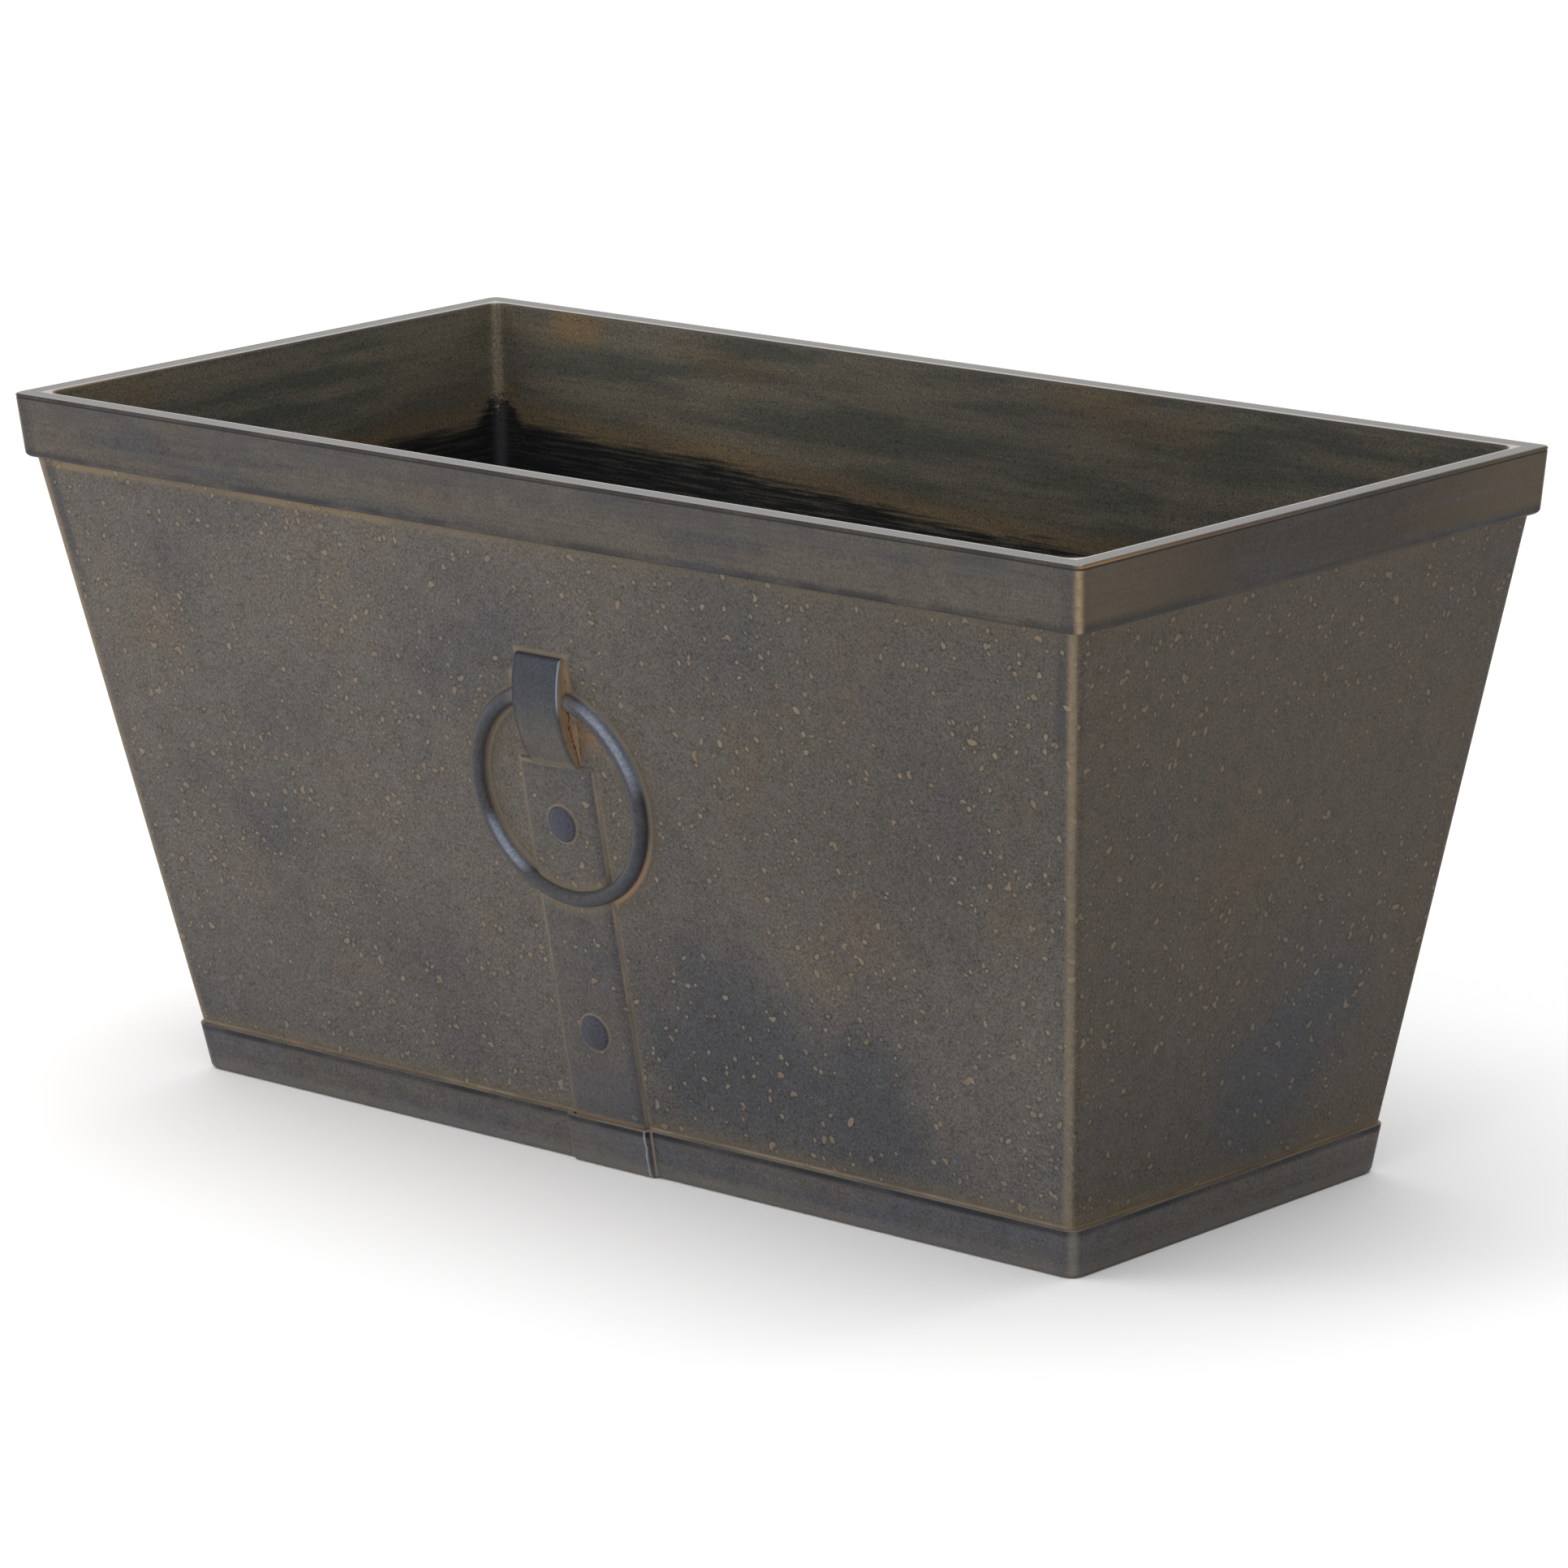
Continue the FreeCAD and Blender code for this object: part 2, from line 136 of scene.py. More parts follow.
bpy.ops.mesh.primitive_plane_add(size=FLOOR_WIDTH)
floor = bpy.context.object
floor.name = "floor"
floor_paint = bpy.data.materials.new("pale_floor")
floor_paint.use_nodes = True
floor_shader = floor_paint.node_tree.nodes["Principled BSDF"].inputs
floor_shader["Base Color"].default_value = FLOOR_SHADE
floor_shader["Roughness"].default_value = FLOOR_ROUGHNESS
floor.data.materials.append(floor_paint)


# Tub: one resin moulding with four walls that lean outwards, sprayed in an antique brown-grey with
# bluish clouds and tan specks, and wiped with a rust wash that stays in the creases. Inside, the
# paint was brushed on and stops in a ragged line over bare, near-black resin.
MM = 0.001
WALL_LEAN = math.radians(9.7)
LEAN = math.tan(WALL_LEAN)
WALL_FOOT_X = 251.22
WALL_FOOT_Y = 96.22
RIM_FOOT = 279.8
BAND_TOP = 21.5
STRAP_HALF = 21.0
STRAP_TOP = 185.4
LOOP_HALF = 13.25
LOOP_TOP = 232.9
RING_CENTRE = 170.9
RING_RADIUS = 46.0
RING_BAR = 3.4
RIVET_PLACES = (158.3, 63.4)
RIVET_RADIUS = 8.6
END_FACE_SHIFT = 731.0
PAINT_SPECULAR = 0.16

WALL_BROWN = (87, 82, 76)
WALL_LOW_BROWN = (84, 81, 78)
WALL_PAINTED_SHADE = (76, 72, 66)
END_BROWN = (77, 70, 60)
WALL_SLATE = (65, 65, 68)
TAN = (120, 103, 81)
CREAM = (132, 121, 101)
WARMER = (1.08, 0.99, 0.93, 1)
INK = (26, 26, 30)
RIM_WASH = (98, 88, 68)
RIM_LINE = (120, 103, 80)
RIM_LINE_END = (98, 84, 60)
FOOT_WASH = (104, 92, 70)
FOOT_LINE_RIGHT = (152, 139, 120)
FOOT_LINE_LEFT = (146, 129, 106)
FOOT_LINE_END = (150, 126, 94)
CORNER_DARK_BAND = (48, 50, 58)
CORNER_TAN = (126, 111, 90)
RING_SHADOW_WASH = (104, 94, 78)
RING_LINE_TAN = (126, 117, 102)
RING_LINE_RUST = (166, 133, 104)
STRAP_LINE_TAN = (122, 110, 93)
LOOP_LINE_TAN = (125, 112, 92)
NOOK_RUST = (128, 101, 74)
NOOK_SPECKLE = (62, 44, 30)
CREVICE_SHADE = (52, 34, 22)
INSIDE_OLIVE = (88, 83, 72)
INSIDE_SMOKE = (66, 66, 60)
INSIDE_RUST = (100, 80, 53)
INSIDE_STAIN = (112, 88, 54)
INSIDE_LIT = (92, 86, 73)
INSIDE_CORNER_TAN = (111, 101, 82)
BARE_RESIN = (24, 25, 27)
RESIN_DUST = (52, 49, 44)

# Clouds that lie where they do on the real wall: along the face, height, radius and strength
SLATE_CLOUDS = (
    (-150, 160, 95, 0.12), (68, 68, 76, 0.27), (142, 58, 78, 0.15), (-228, 236, 44, 0.16),
    (100, 262, 60, 0.03), (END_FACE_SHIFT + 14, 45, 80, 0.19), (END_FACE_SHIFT - 80, 190, 50, 0.06),
    (192, 66, 34, -0.14), (-285, 150, 60, -0.14), (20, 250, 50, -0.06),
)
# Specks of two sizes: spacing, radius and the share that is kept
SPECK_SIZES = ((10.5, 1.02, 0.6), (6.5, 0.7, 0.34))
# Where the stain inside lies, along the wall and up it, with heights stretched
STAIN_STRETCH = 2.6
STAIN_PLACE = (-244, 785, 0)
# The nook at the loop's right foot, where rust gathers: across and up the wall's slope
RIGHT_NOOK = (19, 203, 0)


# What the groups' sockets carry, where it isn't a plain value
SOCKET_KINDS = {
    "Place": "Vector", "Ring turn": "Vector", "Brown": "Color", "Slate": "Color", "Colour": "Color",
}


class Wiring:
    """Lays out a node tree in few words. Most calls add a node and give back what it puts out.
    Its colour is the coat so far, which lay builds up, and its place is where noise is read."""

    def __init__(self, tree, ends):
        self.tree = tree
        self.ends = ends
        self.colour = None
        self.place = None

    def feed(self, socket, value):
        """Feeds an input with another node's output, a plain value or a colour as the eye reads it."""
        if isinstance(value, bpy.types.NodeSocket):
            self.tree.links.new(value, socket)
        elif socket.type == "RGBA" and len(value) == 3:
            socket.default_value = as_light(value)
        else:
            socket.default_value = value

    def give(self, values):
        """Feeds the tree's ends by name: a group's outputs, or the inputs of a material's shader."""
        for name, value in values.items():
            self.feed(self.ends[name], value)

    def add(self, kind, feeds=(), **settings):
        """Adds a node, sets it and feeds its inputs."""
        node = self.tree.nodes.new("ShaderNode" + kind)
        for name, value in settings.items():
            setattr(node, name, value)
        for socket, value in dict(feeds).items():
            self.feed(node.inputs[socket], value)
        return node

    def use(self, group, source=(), values=()):
        """Places a shared group. Its inputs take the values, or the source's outputs, by name."""
        node = self.add("Group", node_tree=bpy.data.node_groups[group])
        given = {socket.name: socket for socket in source} | dict(values)
        for socket in node.inputs:
            if socket.name in given:
                self.feed(socket, given[socket.name])
        return node.outputs

    def calc(self, operation, *values):
        """Arithmetic on plain values."""
        return self.add("Math", enumerate(values), operation=operation).outputs[0]

    def vector(self, operation, *vectors):
        """Arithmetic on vectors, which gives a plain value where it measures."""
        outputs = self.add("VectorMath", enumerate(vectors), operation=operation).outputs
        return outputs["Value" if operation in ("LENGTH", "DISTANCE") else "Vector"]

    def scaled(self, vector, strength):
        """A vector or colour times a strength."""
        return self.add("VectorMath", {0: vector, "Scale": strength}, operation="SCALE").outputs[0]

    def plus(self, first, second):
        """Two values added together."""
        return self.calc("ADD", first, second)

    def minus(self, first, second):
        """A value less another."""
        return self.calc("SUBTRACT", first, second)

    def times(self, first, *others):
        """All the values multiplied together."""
        for other in others:
            first = self.calc("MULTIPLY", first, other)
        return first

    def pick(self, share, first, second):
        """Two plain values blended by a share."""
        return self.add("Mix", {0: share, 2: first, 3: second}).outputs[0]

    def swing(self, value, reach, middle=0):
        """A value from 0 to 1, made to swing about a middle."""
        return self.calc("MULTIPLY_ADD", self.minus(value, 0.5), reach, middle)

    def ease(self, value, start, end, low=0, high=1):
        """A soft curve from low at start to high at end. Start may be above end."""
        feeds = {"Value": value, "From Min": start, "From Max": end, "To Min": low, "To Max": high}
        return self.add("MapRange", feeds, interpolation_type="SMOOTHSTEP").outputs[0]

    def between(self, value, start, full, fade, end):
        """A band that eases in from start to full and out from fade to end."""
        return self.times(self.ease(value, start, full), self.ease(value, end, fade))

    def spread(self, value, low, high):
        """A value from 0 to 1, spread from low to high."""
        return self.add("MapRange", {"Value": value, "To Min": low, "To Max": high}).outputs[0]

    def point(self, *values):
        """A vector from up to three values."""
        return self.add("CombineXYZ", enumerate(values)).outputs[0]

    def parts(self, vector):
        """A vector's three values."""
        return self.add("SeparateXYZ", {0: vector}).outputs

    def noise(self, width, detail=2, rough=0.5, place=None):
        """Cloudy noise about 0.5, with lumps of about that width."""
        place = place or self.place
        feeds = {"Vector": place, "Scale": 1 / width, "Detail": detail, "Roughness": rough}
        return self.add("TexNoise", feeds).outputs[0]

    def blend(self, share, first, second, how="MIX"):
        """Two colours blended by a share."""
        feeds = {0: share, 6: first, 7: second}
        return self.add("Mix", feeds, data_type="RGBA", blend_type=how).outputs[2]

    def lay(self, share, colour, strength=1):
        """Lays a colour over the coat, where the share says and as thickly as the strength."""
        if strength != 1:
            share = self.times(share, strength)
        self.colour = self.blend(share, self.colour, colour)


def new_group(name, takes, gives):
    """A shader group with named inputs and outputs: the wiring to fill it, and what comes in."""
    group = bpy.data.node_groups.new(name, "ShaderNodeTree")
    for way, sockets in (("INPUT", takes), ("OUTPUT", gives)):
        for socket in sockets:
            kind = "NodeSocket" + SOCKET_KINDS.get(socket, "Float")
            group.interface.new_socket(socket, in_out=way, socket_type=kind)
    entry = group.nodes.new("NodeGroupInput").outputs
    w = Wiring(group, group.nodes.new("NodeGroupOutput").inputs)
    w.place = entry.get("Place")
    return w, entry


# Where a point is on the trough, in mm: how far along its face, how high, how far from the nearest
# upright corner, how deep behind the wall's outer face, and whether it is on a long face.
w, entry = new_group("trough_place", (), ("Place", "Along", "Height", "Corner", "Depth", "Long face"))
whole = w.scaled(w.add("TexCoord").outputs["Object"], 1 / MM)
x, y, z = w.parts(whole)
past_end = w.minus(w.calc("ABSOLUTE", x), w.calc("MULTIPLY_ADD", z, LEAN, WALL_FOOT_X))
past_long = w.minus(w.calc("ABSOLUTE", y), w.calc("MULTIPLY_ADD", z, LEAN, WALL_FOOT_Y))
on_long = w.calc("GREATER_THAN", past_long, past_end)
w.give({
    "Place": whole,
    "Along": w.pick(on_long, w.plus(y, END_FACE_SHIFT), x),
    "Height": z,
    "Corner": w.calc("ABSOLUTE", w.minus(past_end, past_long)),
    "Depth": w.times(w.calc("MAXIMUM", past_end, past_long), -1),
    "Long face": on_long,
})

# How far a point of a long face is from the edges of the strap, the loop, the ring's bar and the
# rivets, in mm up the wall's slope; below 0 is on the piece. Ring side is 1 outside the ring, and
# Ring rust is 1 along its low right, where the wash ran together.
w, entry = new_group("relief_gaps", ("Place", "Depth"), (
    "Slope", "Across", "Strap", "Loop", "Ring", "Ring side", "Ring rust", "Ring turn", "Rivet",
))
x, y, z = w.parts(entry["Place"])
slope = w.minus(w.times(z, 1 / math.cos(WALL_LEAN)), w.times(entry["Depth"], math.sin(WALL_LEAN)))
width = w.calc("ABSOLUTE", x)
from_loop_middle = w.calc("ABSOLUTE", w.minus(slope, (STRAP_TOP + LOOP_TOP) / 2))
past_loop_end = w.minus(from_loop_middle, (LOOP_TOP - STRAP_TOP) / 2)
from_centre = w.point(x, w.minus(slope, RING_CENTRE), 0)
past_bar = w.minus(w.vector("LENGTH", from_centre), RING_RADIUS)
ring_side = w.calc("GREATER_THAN", past_bar, 0)
ring_turn = w.vector("NORMALIZE", from_centre)
turn_x, turn_up = w.parts(ring_turn)[:2]
low_right = w.minus(w.times(turn_x, 0.63), w.times(turn_up, 0.78))
rivet_gaps = []
for rivet_place in RIVET_PLACES:
    from_rivet = w.point(x, w.minus(slope, rivet_place), 0)
    rivet_gaps.append(w.minus(w.vector("LENGTH", from_rivet), RIVET_RADIUS))
w.give({
    "Slope": slope,
    "Across": x,
    "Strap": w.calc("MAXIMUM", w.minus(width, STRAP_HALF), w.minus(slope, STRAP_TOP)),
    "Loop": w.calc("MAXIMUM", w.minus(width, LOOP_HALF), past_loop_end),
    "Ring": w.minus(w.calc("ABSOLUTE", past_bar), RING_BAR),
    "Ring side": ring_side,
    "Ring rust": w.times(w.ease(low_right, 0.75, 1), ring_side),
    "Ring turn": ring_turn,
    "Rivet": w.calc("MINIMUM", *rivet_gaps),
})

# The antique paint itself: brown with slate clouds, a warmer bloom here and there, and a fine grain.
w, entry = new_group("antique_paint", ("Place", "Brown", "Slate", "Slate share", "Grain"),
                     ("Colour", "Grain"))
cloud = w.plus(w.noise(115, 3, 0.55), entry["Slate share"])
tone = w.blend(w.ease(cloud, 0.44, 0.86), entry["Brown"], entry["Slate"])
bloom = w.ease(w.noise(47), 0.52, 0.75)
tone = w.blend(bloom, tone, w.blend(1, tone, WARMER, "MULTIPLY"))
mottle = w.swing(w.noise(8, 3, 0.6), 0.5)
grain = w.noise(1.15, 2, 0.85)
strength = w.plus(mottle, w.swing(grain, entry["Grain"], 1))
w.give({"Colour": w.scaled(tone, strength), "Grain": grain})

# Specks: paint flicked on as dots, dashes and little commas, in loose swarms, each with a ring round
# it for its painted shade.
w, entry = new_group("paint_specks", ("Along", "Height", "Spacing", "Radius", "Share"),
                     ("Speck", "Shade", "Tone"))
flat = w.point(entry["Along"], entry["Height"], 0)
wobble = w.add("TexNoise", {"Vector": flat, "Scale": 0.4, "Detail": 1.0}).outputs[1]
wobble = w.scaled(w.vector("SUBTRACT", wobble, (0.5, 0.5, 0.5)), 0.9)
moved = w.vector("ADD", flat, wobble)
cells = w.add("TexVoronoi", {
    "Vector": moved, "Scale": w.calc("DIVIDE", 1, entry["Spacing"]), "Randomness": 0.9,
}, voronoi_dimensions="2D").outputs
away = w.vector("SUBTRACT", moved, cells["Position"])
turn, curl, stretch = w.parts(cells["Color"])
chance = w.add("TexWhiteNoise", {"Vector": cells["Position"]}, noise_dimensions="2D").outputs
size_draw, keep_draw, tone_draw = w.parts(chance["Color"])
turned = w.add("VectorRotate", {"Vector": away, "Angle": w.times(turn, math.tau)},
               rotation_type="Z_AXIS").outputs[0]
long_way, short_way = w.parts(turned)[:2]
bent = w.times(long_way, long_way, w.spread(curl, -0.32, 0.32))
short_way = w.plus(short_way, bent)
long_way = w.calc("DIVIDE", long_way, w.spread(w.calc("POWER", stretch, 2), 0.9, 2.1))
reach = w.vector("LENGTH", w.point(long_way, short_way, 0))
past = w.minus(reach, w.times(entry["Radius"], w.spread(size_draw, 0.5, 1.15)))
swarm = w.ease(w.noise(75, 1, place=flat), 0.33, 0.62, 0.2, 1)
kept = w.calc("LESS_THAN", keep_draw, w.times(entry["Share"], swarm))
w.give({
    "Speck": w.times(kept, w.ease(past, 0.3, -0.15)),
    "Shade": w.times(kept, w.ease(past, 1.3, 0.2), w.ease(past, -0.1, 0.3)),
    "Tone": tone_draw,
})

# Brush marks: fine streaks that run along a face.
w, entry = new_group("brush_marks", ("Along", "Height", "Length", "Width"), ("Marks",))
stroke = w.point(w.calc("DIVIDE", entry["Along"], entry["Length"]),
                 w.calc("DIVIDE", entry["Height"], entry["Width"]), 0)
w.give({"Marks": w.noise(1, 3, 0.6, stroke)})


def brush(w, place, length, width):
    """Brush marks of a length and a width."""
    return w.use("brush_marks", place, {"Length": length, "Width": width})["Marks"]


# The brushed inside: olive and smoke with rust blotches and a stain down to a ragged line, with dabs in
# the corners, then bare resin with a few dragged strokes and dust. Light and shade are painted in too:
# lighter ends, a painted highlight in the corners, painted shade in the bare corners, and the whole
# brighter at the left and darker at the right.
w, entry = new_group("brushed_inside", ("Place", "Along", "Height", "Corner"), ("Colour",))
strokes = brush(w, entry, 34, 1.5)
broad = brush(w, entry, 110, 14)
w.colour = w.blend(w.ease(broad, 0.38, 0.64), INSIDE_SMOKE, INSIDE_OLIVE)
stretched = w.point(w.times(entry["Along"], 0.45), entry["Height"], 0)
near_rim = w.ease(entry["Height"], 280, 304, 0.15, 1)
blotch = w.ease(w.noise(52, 3, 0.6, stretched), 0.50, 0.68)
w.lay(w.times(blotch, near_rim), INSIDE_RUST, 0.5)
raised = w.point(entry["Along"], w.times(entry["Height"], STAIN_STRETCH), 0)
stain = w.times(w.vector("DISTANCE", raised, STAIN_PLACE), w.spread(w.noise(14, 3, 0.6), 0.2, 1.8))
w.lay(w.ease(stain, 28, 8), INSIDE_STAIN, 0.55)
to_right = w.ease(w.parts(entry["Place"])[0], -290, 120)
slump = w.swing(w.noise(90, place=w.point(entry["Along"], 0, 0)), 14)
ragged = w.swing(strokes, w.spread(to_right, 9, 26))
dabs = w.times(w.ease(entry["Corner"], 17, 4), w.spread(w.noise(2.2, 3, 0.7), -6, 24))
level = w.plus(w.plus(entry["Height"], slump), w.minus(ragged, dabs))
level = w.calc("MULTIPLY_ADD", to_right, 20, level)
covered = w.ease(level, 251.5, 259)
w.lay(w.between(level, 250, 257, 259, 270), INSIDE_RUST, 0.5)
end_face = w.calc("GREATER_THAN", entry["Along"], END_FACE_SHIFT / 2)
# Painted light: lighter near the corners, most on the ends
lit = w.times(w.ease(entry["Corner"], 90, 5), w.spread(end_face, 0.4, 1))
w.lay(lit, INSIDE_LIT, 0.45)
# The corner's tan strip above the ragged line: partly dry-brushed paint, partly painted highlight
strip = w.times(w.ease(entry["Corner"], 4.2, 1.4), covered)
w.lay(strip, INSIDE_CORNER_TAN, 0.72)
dragged = w.times(w.ease(strokes, 0.43, 0.66), w.ease(level, 212, 250), w.spread(to_right, 0.35, 1))
painted = w.colour
w.colour = BARE_RESIN
w.lay(dragged, INSIDE_OLIVE, 0.52)
# Painted shade in the bare corners
w.lay(w.ease(entry["Corner"], 9, 2), INK, 0.6)
dust = w.times(w.ease(w.noise(60, 4, 0.6), 0.4, 0.65), w.ease(entry["Height"], 190, 60))
w.lay(dust, RESIN_DUST, 0.5)
w.lay(covered, painted)
# Painted light and shade: brighter at the left, darker at the right, and the ends brighter near the rim
grain = w.calc("MULTIPLY_ADD", w.noise(0.8, 1), 1.9, 0.05)
end_light = w.ease(entry["Height"], 258, 288, 1.02, 1.2)
strength = w.times(w.plus(w.swing(strokes, 0.5), grain), w.spread(to_right, 1.2, 0.8),
                   w.pick(end_face, 1, end_light))
w.give({"Colour": w.scaled(w.colour, strength)})


def new_paint(name):
    """A material, and the wiring that ends at its shader."""
    material = bpy.data.materials.new(name)
    material.use_nodes = True
    shader = material.node_tree.nodes["Principled BSDF"].inputs
    shader["Specular IOR Level"].default_value = PAINT_SPECULAR
    return material, Wiring(material.node_tree, shader)


def trough_paint(name):
    """A paint for the trough: the material, its wiring, a point's place and its relief gaps."""
    material, w = new_paint(name)
    place = w.use("trough_place")
    w.place = place["Place"]
    return material, w, place, w.use("relief_gaps", place)


def antique(w, place, brown, slate, slate_share, grain):
    """Starts the coat with the antique paint. Gives its grain."""
    paint = w.use("antique_paint", place, {
        "Brown": brown, "Slate": slate, "Slate share": slate_share, "Grain": grain,
    })
    w.colour = paint["Colour"]
    return paint["Grain"]


def dry(w, roughness, height, depth):
    """Gives the shader the coat, its roughness, and the tilt of a height in shares of a depth in mm."""
    bump = w.add("Bump", {"Height": height, "Distance": depth * MM})
    w.give({"Base Color": w.colour, "Roughness": roughness, "Normal": bump.outputs["Normal"]})


def wear_and_highlight_patches(w):
    """How strong the tan on a corner is from patch to patch: partly wear, partly painted highlight."""
    return w.spread(w.noise(3.2, 3, 0.75), 0.2, 1.6)


def lay_specks(w, place, share=1):
    """Lays two sizes of speck over the coat. Gives them as a height."""
    specks = []
    for spacing, radius, kept in SPECK_SIZES:
        sizes = {"Spacing": spacing, "Radius": radius, "Share": kept * share}
        speck = w.use("paint_specks", place, sizes)
        # Painted shade: a dark ring round each speck
        w.lay(speck["Shade"], INK, 0.25)
        creamy = w.times(speck["Tone"], w.spread(place["Long face"], 0.4, 1))
        thickness = w.spread(place["Long face"], 0.66, 0.72)
        w.lay(speck["Speck"], w.blend(creamy, TAN, CREAM), thickness)
        specks.append(speck["Speck"])
    return w.plus(*specks)


wall_paint, w, place, gap = trough_paint("antiqued_wall")
long_face = place["Long face"]
on_face = w.point(place["Along"], place["Height"], 0)
ragged_place = w.calc("MULTIPLY_ADD", w.noise(45), 0.8, 0.6)
slate_share = 0.0
for along, height, radius, strength in SLATE_CLOUDS:
    from_cloud = w.vector("DISTANCE", on_face, (along, height, 0))
    share = w.ease(w.times(from_cloud, ragged_place), radius, 0)
    slate_share = w.calc("MULTIPLY_ADD", share, strength, slate_share)
# Painted shade: both long faces grow darker towards the front's right end, in their upper part
painted_falloff = w.times(w.ease(place["Along"], -70, 200), w.ease(place["Height"], 80, 180))
long_brown = w.blend(painted_falloff, WALL_BROWN, WALL_PAINTED_SHADE)
long_brown = w.blend(w.ease(place["Height"], 120, 40), long_brown, WALL_LOW_BROWN)
grain = antique(w, place, w.blend(long_face, END_BROWN, long_brown), WALL_SLATE, slate_share,
                w.spread(long_face, 2.7, 2.8))

# The wash in the creases under the rim band and over the foot band
patchy = w.ease(w.noise(32), 0.36, 0.62)
under_rim = w.minus(RIM_FOOT, place["Height"])
over_foot = w.minus(place["Height"], BAND_TOP)
on_left = w.ease(place["Along"], 40, -140)
w.lay(w.ease(under_rim, 12, 0), RIM_WASH, 0.15)
rim_line = w.times(w.ease(under_rim, 5, 2.6), w.spread(patchy, 0.5, 1), w.spread(on_left, 0.15, 1))
w.lay(rim_line, w.blend(long_face, RIM_LINE_END, RIM_LINE), 0.75)
w.lay(w.ease(over_foot, 10, 0), FOOT_WASH, 0.4)
foot_line = w.times(w.ease(over_foot, w.spread(on_left, 1.7, 2.1), 0.5), w.spread(patchy, 0.45, 1))
line_colour = w.blend(on_left, FOOT_LINE_RIGHT, FOOT_LINE_LEFT)
line_colour = w.blend(long_face, FOOT_LINE_END, line_colour)
w.lay(foot_line, line_colour, 0.75)

# The upright corner: a tan strip on the round, partly wear to the undercoat and partly painted
# highlight, with a dark bluish band beside it
front_strip = w.times(w.between(place["Corner"], -0.8, 1.6, 3, 6.6),
                      w.ease(place["Height"], 150, 245, 0.7, 1))
end_strip = w.times(w.ease(place["Corner"], 1.6, 0), 0.25)
corner_dark_band = w.times(w.between(place["Corner"], 5, 7, 9.5, 13), long_face,
                w.spread(patchy, 0.4, 1), w.ease(place["Height"], 205, 250, 0.25, 1))
w.lay(corner_dark_band, CORNER_DARK_BAND, 0.55)
specks = lay_specks(w, place)
wear_and_highlight_strip = w.times(w.pick(long_face, end_strip, front_strip), wear_and_highlight_patches(w))
w.lay(wear_and_highlight_strip, CORNER_TAN, 0.8)

# The wash round the relief on the long faces
near_relief = w.calc("LESS_THAN", w.calc("ABSOLUTE", gap["Across"]), 90)
on_relief_side = w.times(long_face, near_relief)
turn_x, turn_up = w.parts(gap["Ring turn"])[:2]
to_low_right = w.minus(w.times(turn_x, 0.85), w.times(turn_up, 0.5))
outer = w.times(gap["Ring side"], w.ease(to_low_right, -0.3, 0.9, 0.3, 1))
inner = w.times(w.minus(1, gap["Ring side"]), w.ease(turn_x, 0.5, -0.8, 0.35, 1))
both_sides = w.times(w.plus(outer, inner), on_relief_side)
ring_wash = w.times(w.ease(gap["Ring"], 10, 0), both_sides)
w.lay(ring_wash, RING_SHADOW_WASH, 0.35)
ring_line = w.times(w.ease(gap["Ring"], w.spread(gap["Ring rust"], 2.4, 3), 0.9), both_sides)
w.lay(ring_line, w.blend(gap["Ring rust"], RING_LINE_TAN, RING_LINE_RUST), 0.7)
strap_line = w.times(w.ease(gap["Strap"], 3.4, 0), on_relief_side, w.spread(patchy, 0.4, 1),
                     w.ease(gap["Slope"], 186, 182, 0.3, 1))
w.lay(strap_line, STRAP_LINE_TAN, 0.55)
left_of_loop = w.times(w.ease(gap["Across"], 0, -12), w.between(gap["Slope"], 188, 196, 222, 228))
loop_start = w.spread(left_of_loop, 3.8, 9)
loop_full = w.spread(left_of_loop, 1.2, 6)
loop_line = w.times(w.ease(gap["Loop"], loop_start, loop_full), w.ease(gap["Slope"], 236.5, 234),
                    on_relief_side)
w.lay(loop_line, LOOP_LINE_TAN, 0.6)
from_nook = w.vector("DISTANCE", w.point(gap["Across"], gap["Slope"], 0), RIGHT_NOOK)
nook = w.times(w.ease(from_nook, 16, 3), w.ease(gap["Loop"], 0, 0.5), w.ease(gap["Slope"], 219, 208),
               w.spread(w.noise(5, 3, 0.7), 0.5, 1.4), on_relief_side)
w.lay(nook, NOOK_RUST, 0.52)
speckled = w.times(w.ease(from_nook, 12, 3), w.ease(w.noise(1.6, 2, 0.6), 0.55, 0.68), on_relief_side)
w.lay(speckled, NOOK_SPECKLE, 0.4)
# Painted shade: a dark line in the crevice to the right of the loop
crevice_shade = w.times(w.between(gap["Loop"], 0.9, 1.4, 1.8, 2.6), w.ease(gap["Across"], 8, 12),
                w.between(gap["Slope"], 186, 194, 212, 218), w.ease(w.noise(5), 0.4, 0.55), on_relief_side)
w.lay(crevice_shade, CREVICE_SHADE, 0.8)

inside = w.calc("GREATER_THAN", place["Depth"], 4)
w.lay(inside, w.use("brushed_inside", place)["Colour"])
dry(w, w.pick(inside, w.spread(grain, 0.42, 0.62), 0.42), w.calc("MULTIPLY_ADD", specks, 0.5, grain), 0.10)
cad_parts["tub"].material_slots[0].material = wall_paint


# Rim band: the moulding's flat collar, with a fine groove round it just under its smooth top land.
# It is part of the pour, painted darker than the wall and brushed along its length.
RIM_TOP = 308.0
RIM_FACE_FOOT = 281.0
RIM_EDGE_ROUND = 0.7
RIM_INNER_ROUND = 1.3
RIM_TOP_OUT = 1.25
RIM_FOOT_OUT = 3.5
WALL_WIDTH = 9.5
CAP_FOOT = 304.0
OUTER_CORNER = 4.0
INNER_CORNER = 7.0
CORNER_STEPS = 8
EDGE_STEPS = 6
FLAT_LIMIT = math.radians(50)
